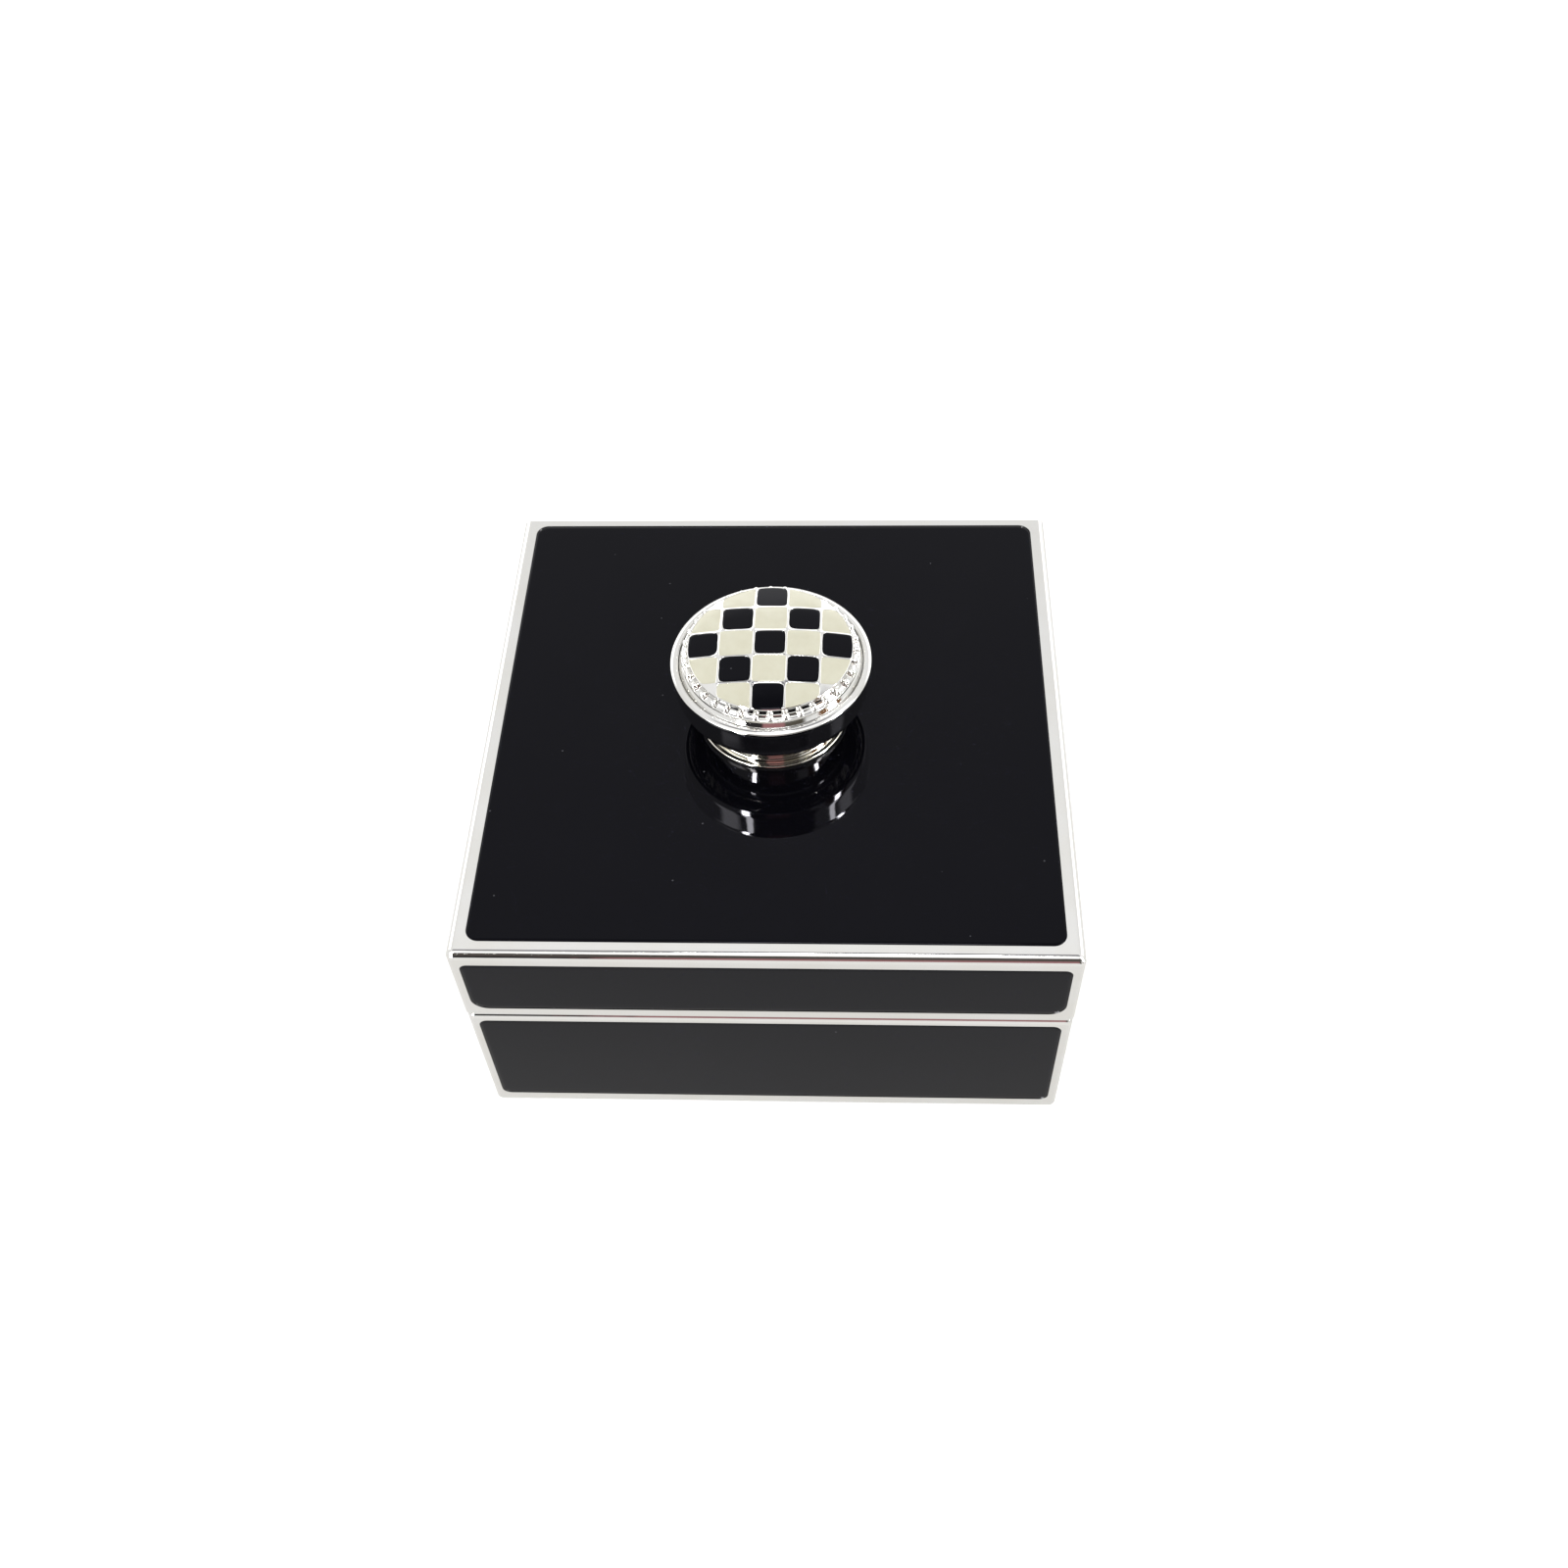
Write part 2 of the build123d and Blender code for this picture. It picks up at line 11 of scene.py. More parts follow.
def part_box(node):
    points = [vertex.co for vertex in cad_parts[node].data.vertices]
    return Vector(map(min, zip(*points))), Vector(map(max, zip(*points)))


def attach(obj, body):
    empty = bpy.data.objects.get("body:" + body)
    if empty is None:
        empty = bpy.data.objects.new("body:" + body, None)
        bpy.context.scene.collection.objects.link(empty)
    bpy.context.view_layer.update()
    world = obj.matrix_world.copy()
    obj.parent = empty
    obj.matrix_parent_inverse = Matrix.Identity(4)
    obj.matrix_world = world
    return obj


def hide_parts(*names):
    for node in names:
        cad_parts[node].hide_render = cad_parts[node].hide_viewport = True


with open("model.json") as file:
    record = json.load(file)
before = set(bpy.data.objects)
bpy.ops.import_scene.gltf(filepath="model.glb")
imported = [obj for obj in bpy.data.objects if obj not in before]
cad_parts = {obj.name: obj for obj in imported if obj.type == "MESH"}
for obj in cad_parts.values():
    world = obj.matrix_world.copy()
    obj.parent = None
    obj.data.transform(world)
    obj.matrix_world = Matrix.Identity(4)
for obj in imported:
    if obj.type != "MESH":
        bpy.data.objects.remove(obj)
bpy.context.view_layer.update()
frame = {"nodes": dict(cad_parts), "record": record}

MM = 0.001
SIDES = ("front", "back", "left", "right")

# Enamel surface, in millimetres: how far it lies below its metal border at the very edge, and how
# quickly it rises from there
ENAMEL_EDGE_SINK = 0.16
ENAMEL_EDGE_WIDTH = 0.22
ENAMEL_SINK = 0.03

# Knob, in millimetres, as heights above the lid's top face and radii from its axis
DOME_RADIUS, DOME_CROWN = 66.0, 16.4
DOME_EDGE, BEAD_LEDGE = 12.45, 13.75
BEAD_CIRCLE_RADIUS, BEAD_HEIGHT = 12.98, 14.15
BEAD_RADIUS, BEAD_COUNT, BEAD_START = 0.54, 36, 2.0
BEAD_BAND_HALF_WIDTH, BEAD_BAND_SEGMENTS = 0.4, 180
CELL_PITCH, CELL_FIELD_RADIUS = 5.06, 12.3
CELL_LIP, CELL_DEPTH, CELL_WALL_ROUND = 0.035, 0.45, 0.05
TURNED_SEGMENTS, POLISH_RIPPLE = 256, 0.02

# Outlines, in millimetres: corner radii of the fills, pad and mirror (lower pair, then upper pair,
# where they differ), and the hole where the knob's screw passes
LID_PANEL_CORNERS, BASE_PANEL_CORNERS, TOP_PANEL_CORNERS = (2.5, 1.2), (1.4, 1.4), (2.0, 2.0)
PAD_CORNERS, MIRROR_CORNERS = (3.0, 3.0), (3.0, 3.0)
SCREW_HOLE_RADIUS = 2.2

# Puff and powder, in millimetres, and how many stitches hold each end of the ribbon
PUFF_VOXEL, PUFF_SWELL_CAP, PUFF_MARGIN = 1.3, 1.6, 0.1
RIBBON_THICKNESS, RIBBON_ARCH_HALF, RIBBON_LIFT = 0.4, 17.0, 0.12
STITCH_ROWS, STITCHES_A_ROW, STITCH_MARGIN = (1.2, 3.0), 9, 0.9
PIPING_RADIUS, PIPING_TWISTS = 0.42, 96
POWDER_DOME, POWDER_RINGS = 0.8, (20.0, 30.0)

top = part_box("lid_shell")[1].z / MM


# ---------------------------------------------------------------- materials

def material(name, color, roughness, metallic=0.0, **sockets):
    """A node material, and the tools to refine it: its node tree and its shader."""
    mat = bpy.data.materials.new(name)
    mat.use_nodes = True
    shader = mat.node_tree.nodes["Principled BSDF"]
    shader.inputs["Base Color"].default_value = (*color, 1.0)
    shader.inputs["Roughness"].default_value = roughness
    shader.inputs["Metallic"].default_value = metallic
    for socket, value in sockets.items():
        shader.inputs[socket.replace("_", " ")].default_value = value
    return mat, mat.node_tree, shader


def noise_node(tree, scale, detail=2.0, roughness=0.5, stretch=(1.0, 1.0, 1.0)):
    """Noise over the model's own coordinates, so that scale is in features per metre."""
    coords = tree.nodes.new("ShaderNodeTexCoord")
    mapping = tree.nodes.new("ShaderNodeMapping")
    mapping.inputs["Scale"].default_value = stretch
    texture = tree.nodes.new("ShaderNodeTexNoise")
    texture.inputs["Scale"].default_value = scale
    texture.inputs["Detail"].default_value = detail
    texture.inputs["Roughness"].default_value = roughness
    tree.links.new(coords.outputs["Object"], mapping.inputs["Vector"])
    tree.links.new(mapping.outputs["Vector"], texture.inputs["Vector"])
    return texture.outputs["Fac"]


def ramp(tree, value, stops):
    """A colour ramp over a value: stops are (position, colour) pairs, dark to light."""
    node = tree.nodes.new("ShaderNodeValToRGB")
    elements = node.color_ramp.elements
    while len(elements) < len(stops):
        elements.new(0.5)
    for element, (position, color) in zip(elements, stops):
        element.position = position
        element.color = (*color, 1.0)
    tree.links.new(value, node.inputs["Fac"])
    return node.outputs["Color"]


def spread(tree, value, low, high):
    """Maps a 0 to 1 value to low to high."""
    node = tree.nodes.new("ShaderNodeMapRange")
    node.inputs["To Min"].default_value = low
    node.inputs["To Max"].default_value = high
    tree.links.new(value, node.inputs["Value"])
    return node.outputs["Result"]


def bumps(tree, shader, *layers):
    """Stacks bump nodes: each layer is (height, distance in metres, strength)."""
    normal = None
    for height, distance, strength in layers:
        bump = tree.nodes.new("ShaderNodeBump")
        bump.inputs["Distance"].default_value = distance
        bump.inputs["Strength"].default_value = strength
        tree.links.new(height, bump.inputs["Height"])
        if normal is not None:
            tree.links.new(normal, bump.inputs["Normal"])
        normal = bump.outputs["Normal"]
    tree.links.new(normal, shader.inputs["Normal"])


def specks(tree, scale, size):
    """1 in sparse tiny dots, 0 elsewhere: dust and pinholes."""
    coords = tree.nodes.new("ShaderNodeTexCoord")
    cells = tree.nodes.new("ShaderNodeTexVoronoi")
    cells.inputs["Scale"].default_value = scale
    tree.links.new(coords.outputs["Object"], cells.inputs["Vector"])
    near = tree.nodes.new("ShaderNodeMath")
    near.operation = "LESS_THAN"
    near.inputs[1].default_value = size
    tree.links.new(cells.outputs["Distance"], near.inputs[0])
    return near.outputs["Value"]


def mix_color(tree, factor, first, second):
    node = tree.nodes.new("ShaderNodeMix")
    node.data_type = "RGBA"
    for socket, value in (("A", first), ("B", second)):
        color_input = [i for i in node.inputs if i.name == socket and i.type == "RGBA"][0]
        if isinstance(value, tuple):
            color_input.default_value = (*value, 1.0)
        else:
            tree.links.new(value, color_input)
    tree.links.new(factor, node.inputs["Factor"])
    return [o for o in node.outputs if o.type == "RGBA"][0]


def plated_metal(name, color, warm):
    """Bright nickel and chrome plate: slightly uneven polish, faint smears and hairlines."""
    mat, tree, shader = material(name, color, 0.07, 1.0)
    smears = noise_node(tree, 90, 4, 0.6)
    hairlines = noise_node(tree, 1400, 3, 0.6, (1.0, 1.0, 0.06))
    tint = ramp(tree, smears, [(0.35, warm), (0.62, color)])
    tree.links.new(tint, shader.inputs["Base Color"])
    tree.links.new(spread(tree, smears, 0.03, 0.12), shader.inputs["Roughness"])
    waves = noise_node(tree, 210, 1.5, 0.45)
    bumps(tree, shader, (waves, 0.0003, 0.15), (hairlines, 0.00001, 0.12))
    return mat


def black_enamel():
    """Glossy enamel: a hint of colour clouding, dust specks and a faint orange-peel ripple."""
    color, cloudy, roughness = (0.0012, 0.0012, 0.0022), (0.0016, 0.0016, 0.0027), 0.03
    mat, tree, shader = material("black_enamel", color, roughness, 0.0, IOR=1.205)
    shader.inputs["Specular Tint"].default_value = (0.86, 0.86, 1.0, 1.0)
    clouds = noise_node(tree, 45, 3, 0.55)
    base = ramp(tree, clouds, [(0.3, cloudy), (0.7, color)])
    dust = mix_color(tree, specks(tree, 210, 0.03), base, (0.055, 0.057, 0.062))
    tree.links.new(dust, shader.inputs["Base Color"])
    smears = noise_node(tree, 70, 4, 0.6)
    tree.links.new(spread(tree, smears, roughness * 0.6, roughness * 1.6), shader.inputs["Roughness"])
    peel = noise_node(tree, 380, 1, 0.4)
    bumps(tree, shader, (peel, 0.00006, 0.06))
    return mat


def cream_enamel():
    mat, tree, shader = material("cream_enamel", (0.66, 0.638, 0.505), 0.16, 0.0)
    clouds = noise_node(tree, 420, 4, 0.6)
    tree.links.new(
        ramp(tree, clouds, [(0.3, (0.625, 0.603, 0.467)), (0.7, (0.672, 0.655, 0.525))]),
        shader.inputs["Base Color"],
    )
    peel = noise_node(tree, 700, 2, 0.5)
    bumps(tree, shader, (peel, 0.00008, 0.16))
    return mat


def satin_steel():
    mat, tree, shader = material("satin_steel", (0.66, 0.65, 0.63), 0.3, 1.0)
    brushing = noise_node(tree, 900, 5, 0.7, (0.03, 0.03, 4.0))
    tree.links.new(spread(tree, brushing, 0.2, 0.42), shader.inputs["Roughness"])
    bumps(tree, shader, (brushing, 0.00002, 0.25))
    return mat


def tray_plastic():
    mat, tree, shader = material("tray_plastic", (0.012, 0.012, 0.013), 0.5)
    grain = noise_node(tree, 5200, 2, 0.6)
    tree.links.new(spread(tree, noise_node(tree, 60, 3), 0.42, 0.6), shader.inputs["Roughness"])
    bumps(tree, shader, (grain, 0.00004, 0.45))
    return mat


def drawn_aluminium():
    mat, tree, shader = material("drawn_aluminium", (0.78, 0.78, 0.79), 0.28, 1.0)
    drawing = noise_node(tree, 1500, 4, 0.6, (1.0, 1.0, 0.1))
    tree.links.new(spread(tree, drawing, 0.2, 0.36), shader.inputs["Roughness"])
    bumps(tree, shader, (drawing, 0.00002, 0.2))
    return mat


def face_powder():
    mat, tree, shader = material("face_powder", (0.72, 0.46, 0.33), 0.95)
    grains = noise_node(tree, 5200, 4, 0.7)
    clouds = noise_node(tree, 130, 3, 0.6)
    tint = ramp(tree, clouds, [(0.3, (0.66, 0.42, 0.30)), (0.7, (0.76, 0.51, 0.38))])
    fine = mix_color(tree, specks(tree, 2600, 0.16), tint, (0.82, 0.60, 0.47))
    tree.links.new(fine, shader.inputs["Base Color"])
    bumps(tree, shader, (grains, 0.00008, 0.6))
    return mat


def velour():
    mat, tree, shader = material("puff_velour", (0.80, 0.71, 0.60), 0.95, Sheen_Weight=0.7)
    shader.inputs["Sheen Roughness"].default_value = 0.45
    pile = noise_node(tree, 4200, 3, 0.75)
    nap = noise_node(tree, 160, 3, 0.6)
    tree.links.new(
        ramp(tree, nap, [(0.3, (0.72, 0.62, 0.50)), (0.7, (0.86, 0.78, 0.68))]),
        shader.inputs["Base Color"],
    )
    bumps(tree, shader, (nap, 0.0003, 0.3), (pile, 0.00025, 0.9))
    return mat


def satin():
    """Black satin: fine weft lines across the band, with a soft sheen."""
    mat, tree, shader = material("ribbon_satin", (0.016, 0.016, 0.019), 0.34, Sheen_Weight=0.35)
    shader.inputs["Anisotropic"].default_value = 0.6
    weft = noise_node(tree, 6500, 2, 0.6, (1.0, 0.08, 0.3))
    tree.links.new(spread(tree, weft, 0.26, 0.46), shader.inputs["Roughness"])
    bumps(tree, shader, (weft, 0.00005, 0.5))
    return mat


def felt():
    mat, tree, shader = material("felt", (0.014, 0.014, 0.015), 1.0, Sheen_Weight=0.3)
    fibres = noise_node(tree, 2600, 5, 0.8)
    tree.links.new(
        ramp(tree, fibres, [(0.35, (0.008, 0.008, 0.009)), (0.7, (0.035, 0.035, 0.037))]),
        shader.inputs["Base Color"],
    )
    bumps(tree, shader, (fibres, 0.0003, 0.9))
    return mat


def silvered_glass():
    mat, tree, shader = material("mirror_glass", (0.90, 0.92, 0.91), 0.01, 1.0)
    bloom = noise_node(tree, 40, 3, 0.6)
    tree.links.new(spread(tree, bloom, 0.005, 0.03), shader.inputs["Roughness"])
    return mat


def board():
    mat, tree, shader = material("backing_board", (0.22, 0.21, 0.19), 0.9)
    pulp = noise_node(tree, 900, 5, 0.7)
    tree.links.new(
        ramp(tree, pulp, [(0.3, (0.17, 0.16, 0.15)), (0.7, (0.27, 0.26, 0.23))]),
        shader.inputs["Base Color"],
    )
    bumps(tree, shader, (pulp, 0.0001, 0.4))
    return mat


MATERIALS = {
    "plated_metal": plated_metal("plated_metal", (0.745, 0.74, 0.725), (0.725, 0.715, 0.685)),
    # A warmer, lighter copy of the plate for the knob's foot: the warm tint is the plate's own colour, and
    # the extra lightness is painted light that brightens the foot
    "warm_plate": plated_metal("warm_plate", (0.80, 0.785, 0.72), (0.775, 0.745, 0.65)),
    "black_enamel": black_enamel(),
    "cream_enamel": cream_enamel(),
    "rim_metal": satin_steel(),
    "tray_plastic": tray_plastic(),
    "pan_metal": drawn_aluminium(),
    "powder": face_powder(),
    "puff_velour": velour(),
    "ribbon_satin": satin(),
    "mirror_glass": silvered_glass(),
    "backing_board": board(),
    "felt": felt(),
    "screw_steel": satin_steel(),
}


# ---------------------------------------------------------------- mesh helpers

def piece(name, verts, faces, body, slot, replaced=(), smooth_angle=40.0, finish=None):
    """A mesh piece in millimetres: linked, shaded, given the material of its slot or finish, and its body.
    """
    mesh = bpy.data.meshes.new(name)
    mesh.from_pydata([Vector(v) * MM for v in verts], [], faces)
    mesh.validate()
    obj = bpy.data.objects.new(name, mesh)
    bpy.context.scene.collection.objects.link(obj)
    return dress(obj, body, slot, replaced, smooth_angle, finish)


def dress(obj, body, slot, replaced=(), smooth_angle=40.0, finish=None):
    """Shades a piece, gives it the material of its slot or finish, parents it to its body and hides the
    nodes it replaces.
    """
    obj.data.materials.clear()
    obj.data.materials.append(MATERIALS[finish or slot])
    obj.data.shade_smooth()
    obj.data.set_sharp_from_angle(angle=math.radians(smooth_angle))
    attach(obj, body)
    if replaced:
        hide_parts(*replaced)
    return obj


def bridge(first, second, count):
    """Quads between two closed rings of count points, given by their first indices."""
    return [
        (first + i, first + (i + 1) % count, second + (i + 1) % count, second + i)
        for i in range(count)
    ]


def lathe(profile, segments):
    """A closed solid of revolution about Z from (radius, height) pairs, from axis to axis."""
    verts, faces = [(0.0, 0.0, profile[0][1])], []
    rings = profile[1:-1]
    for radius, height in rings:
        for k in range(segments):
            turn = 2 * math.pi * k / segments
            verts.append((radius * math.cos(turn), radius * math.sin(turn), height))
    verts.append((0.0, 0.0, profile[-1][1]))
    for k in range(segments):
        faces.append((0, 1 + (k + 1) % segments, 1 + k))
        last = 1 + (len(rings) - 1) * segments
        faces.append((last + k, last + (k + 1) % segments, len(verts) - 1))
    for ring in range(len(rings) - 1):
        faces += bridge(1 + ring * segments, 1 + (ring + 1) * segments, segments)
    return verts, faces


def rounded_path(corners, steps=8):
    """A smooth (radius, height) profile through (radius, height, rounding) corners."""
    path = []
    for index, (radius, height, rounding) in enumerate(corners):
        corner = Vector((radius, height))
        if rounding == 0 or index in (0, len(corners) - 1):
            path.append((radius, height))
            continue
        before, after = Vector(corners[index - 1][:2]), Vector(corners[index + 1][:2])
        start = corner + (before - corner).normalized() * rounding
        end = corner + (after - corner).normalized() * rounding
        for step in range(steps + 1):
            t = step / steps
            point = start * (1 - t) ** 2 + corner * 2 * t * (1 - t) + end * t * t
            path.append((point.x, point.y))
    return path


def turned(profile):
    """A lathe solid standing on the lid's top face, with a slightly uneven polish."""
    verts, faces = lathe([(radius, top + height) for radius, height in profile], TURNED_SEGMENTS)
    uneven = []
    for vert in verts:
        x, y, z = vert
        swell = 1.0 + POLISH_RIPPLE * noise.noise(Vector((x, y, z)) * 0.35) / 14.0
        uneven.append((x * swell, y * swell, z))
    return uneven, faces


def join_solids(solids):
    """Several (verts, faces) solids as one pair."""
    verts, faces = [], []
    for more_verts, more_faces in solids:
        start = len(verts)
        verts += more_verts
        faces += [tuple(start + i for i in face) for face in more_faces]
    return verts, faces


def rounded_rectangle(half_width, half_height, corner_radii, inset, corner_steps=10, side_steps=14):
    """An anticlockwise outline with the same number of points whatever its inset. corner_radii are
    the lower and the upper corners' radii."""
    corner_low, corner_high = corner_radii
    points = []
    corners = (
        (1, -1, corner_low, 270.0),
        (1, 1, corner_high, 0.0),
        (-1, 1, corner_high, 90.0),
        (-1, -1, corner_low, 180.0),
    )
    for sign_x, sign_y, corner, start in corners:
        radius = max(corner - inset, 0.05)
        centre_x = sign_x * (half_width - inset - radius)
        centre_y = sign_y * (half_height - inset - radius)
        for step in range(corner_steps + 1):
            turn = math.radians(start + 90.0 * step / corner_steps)
            points.append((centre_x + radius * math.cos(turn), centre_y + radius * math.sin(turn)))
        points.append(None)
    outline = []
    for index, point in enumerate(points):
        if point is not None:
            outline.append(point)
            continue
        before, after = points[index - 1], points[(index + 1) % len(points)]
        for step in range(1, side_steps):
            share = step / side_steps
            outline.append(tuple(a + (b - a) * share for a, b in zip(before, after)))
    return outline


# ---------------------------------------------------------------- enamel panels

def enamel_sink(inset):
    """How far the enamel lies below the metal border, at a distance from its edge."""
    return ENAMEL_SINK + (ENAMEL_EDGE_SINK - ENAMEL_SINK) * math.exp(-((inset / ENAMEL_EDGE_WIDTH) ** 1.5))


def enamel_panel(node, half_width, half_height, corner_radii, depth, place, hole=0.0):
    """A fill in its recess: flat and glossy, with an edge that rounds down to the metal. place turns
    local (x, y, height above the recess floor) into the model's frame, in millimetres."""
    insets = (0.0, 0.03, 0.07, 0.12, 0.18, 0.26, 0.38, 0.55, 0.9, 1.6)
    outline = rounded_rectangle(half_width, half_height, corner_radii, 0.0)
    count = len(outline)
    rings = [(outline, 0.0)]
    for inset in insets:
        ring = rounded_rectangle(half_width, half_height, corner_radii, inset)
        rings.append((ring, depth - enamel_sink(inset)))
    flat = rings[-1][0]
    for share in (0.8, 0.6, 0.4, 0.2):
        ring = []
        for x, y in flat:
            scale = share + (1 - share) * hole / math.hypot(x, y)
            ring.append((x * scale, y * scale))
        rings.append((ring, depth - ENAMEL_SINK))
    if hole:
        rim = [(x * hole / math.hypot(x, y), y * hole / math.hypot(x, y)) for x, y in flat]
        rings += [(rim, depth - ENAMEL_SINK), (rim, 0.0)]
    verts = [place(x, y, height) for ring, height in rings for x, y in ring]
    faces = []
    for index in range(len(rings) - 1):
        faces += bridge(index * count, (index + 1) * count, count)
    last = (len(rings) - 1) * count
    if hole:
        faces += bridge(last, 0, count)
    else:
        verts.append(place(0.0, 0.0, depth - ENAMEL_SINK))
        faces += [(last + i, last + (i + 1) % count, len(verts) - 1) for i in range(count)]
        faces.append(tuple(reversed(range(count))))
    body = "lid" if node.startswith("lid") else "base"
    return piece(f"{node}_fill", verts, faces, body, "black_enamel", [node], 60.0)


def side_panel(shell, side):
    """The fill of one side of the base or the lid, placed by its CAD solid's box."""
    node = f"{shell}_enamel_{side}"
    low, high = (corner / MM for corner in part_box(node))
    middle = (low + high) / 2
    size = high - low
    along = 0 if side in ("front", "back") else 1
    across = 1 - along
    outward = 1.0 if side in ("back", "right") else -1.0
    floor = low[across] if outward > 0 else high[across]
    flip = outward if side in ("left", "right") else -outward

    def place(x, y, height):
        point = Vector((0.0, 0.0, middle.z + y))
        point[along] = middle[along] + flip * x
        point[across] = floor + outward * height
        return point

    corners = LID_PANEL_CORNERS if shell == "lid" else BASE_PANEL_CORNERS
    enamel_panel(node, size[along] / 2, size.z / 2, corners, size[across], place)


def top_panel():
    """The lid's top fill, with a hole where the knob's screw passes."""
    low, high = (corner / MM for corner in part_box("lid_enamel_top"))

    def place(x, y, height):
        return Vector((x, y, low.z + height))

    depth = high.z - low.z
    enamel_panel("lid_enamel_top", high.x, high.y, TOP_PANEL_CORNERS, depth, place, SCREW_HOLE_RADIUS)


# ---------------------------------------------------------------- knob

def dome_height(x, y):
    """Height of the medallion's dome in the model's frame, in millimetres."""
    return top + DOME_CROWN - DOME_RADIUS + math.sqrt(DOME_RADIUS**2 - x * x - y * y)


def cell_outline(column, row, draw):
    """The hand-made outline of one cell: a soft-cornered square, cut by the edge of the field. The
    black cells are a little smaller and rounder than the cream ones."""
    black = (column + row) % 2 == 0
    half = CELL_PITCH / 2 - (0.16 if black else 0.05)
    softest, sharpest = (1.15, 0.7) if black else (0.6, 0.3)
    corners = []
    for sign_x, sign_y in ((1, -1), (1, 1), (-1, 1), (-1, -1)):
        wobble_x, wobble_y = draw.uniform(-0.09, 0.02), draw.uniform(-0.09, 0.02)
        corners.append(
            (
                CELL_PITCH * column + sign_x * (half + wobble_x),
                CELL_PITCH * row + sign_y * (half + wobble_y),
            )
        )
    sides, arcs, outline = 10, 6, []
    for index, corner in enumerate(corners):
        rounding = draw.uniform(sharpest, softest)
        before, after = Vector(corners[index - 1]), Vector(corners[(index + 1) % 4])
        corner = Vector(corner)
        start = corner + (before - corner).normalized() * rounding
        end = corner + (after - corner).normalized() * rounding
        for step in range(arcs + 1):
            t = step / arcs
            outline.append(start * (1 - t) ** 2 + corner * 2 * t * (1 - t) + end * t**2)
        next_corner = Vector(after)
        stop = next_corner + (corner - next_corner).normalized() * softest
        for step in range(1, sides):
            outline.append(end.lerp(stop, step / sides))
    for index, point in enumerate(outline):
        lump = noise.noise(Vector((point.x * 1.3, point.y * 1.3, 4.0)))
        point = point + (point - Vector((CELL_PITCH * column, CELL_PITCH * row))).normalized() * 0.05 * lump
        outline[index] = point * min(1.0, CELL_FIELD_RADIUS / point.length)
    for _ in range(3):
        outline = [
            (outline[i - 1] + outline[i] * 2 + outline[(i + 1) % len(outline)]) / 4
            for i in range(len(outline))
        ]
    return outline


def shrink(outline, inset):
    """An outline moved inwards along its own normals, in millimetres."""
    moved = []
    for index, point in enumerate(outline):
        ahead = outline[(index + 1) % len(outline)] - outline[index - 1]
        inward = Vector((-ahead.y, ahead.x)).normalized()
        moved.append(point + inward * inset)
    return moved


def inside(point, outline):
    """Whether a point is inside an outline, by counting crossings."""
    hit = False
    for index, end in enumerate(outline):
        start = outline[index - 1]
        if (start.y > point.y) != (end.y > point.y):
            if point.x < start.x + (end.x - start.x) * (point.y - start.y) / (end.y - start.y):
                hit = not hit
    return hit


def cell_fill(outline, bulge, draw):
    """The enamel in one cell: it wets the walls, dips beside them and swells in the middle."""
    sink = draw.uniform(0.03, 0.06)
    centre = sum(outline, Vector((0.0, 0.0))) / len(outline)
    rings = [(outline, 0.5)]
    for inset, below in ((0.0, 0.075), (0.06, sink + 0.03), (0.16, sink), (0.34, sink - 0.4 * bulge)):
        rings.append((shrink(outline, inset), below))
    for share in (0.7, 0.4, 0.15):
        ring = [centre.lerp(point, share) for point in rings[4][0]]
        rings.append((ring, sink - bulge * (1 - share * share * 0.6)))
    count = len(outline)
    verts = [(p.x, p.y, dome_height(p.x, p.y) - below) for ring, below in rings for p in ring]
    verts.append((centre.x, centre.y, dome_height(centre.x, centre.y) - sink + bulge))
    faces = []
    for index in range(len(rings) - 1):
        faces += bridge(index * count, (index + 1) * count, count)
    last = (len(rings) - 1) * count
    faces += [(last + i, last + (i + 1) % count, len(verts) - 1) for i in range(count)]
    faces.append(tuple(reversed(range(count))))
    return verts, faces


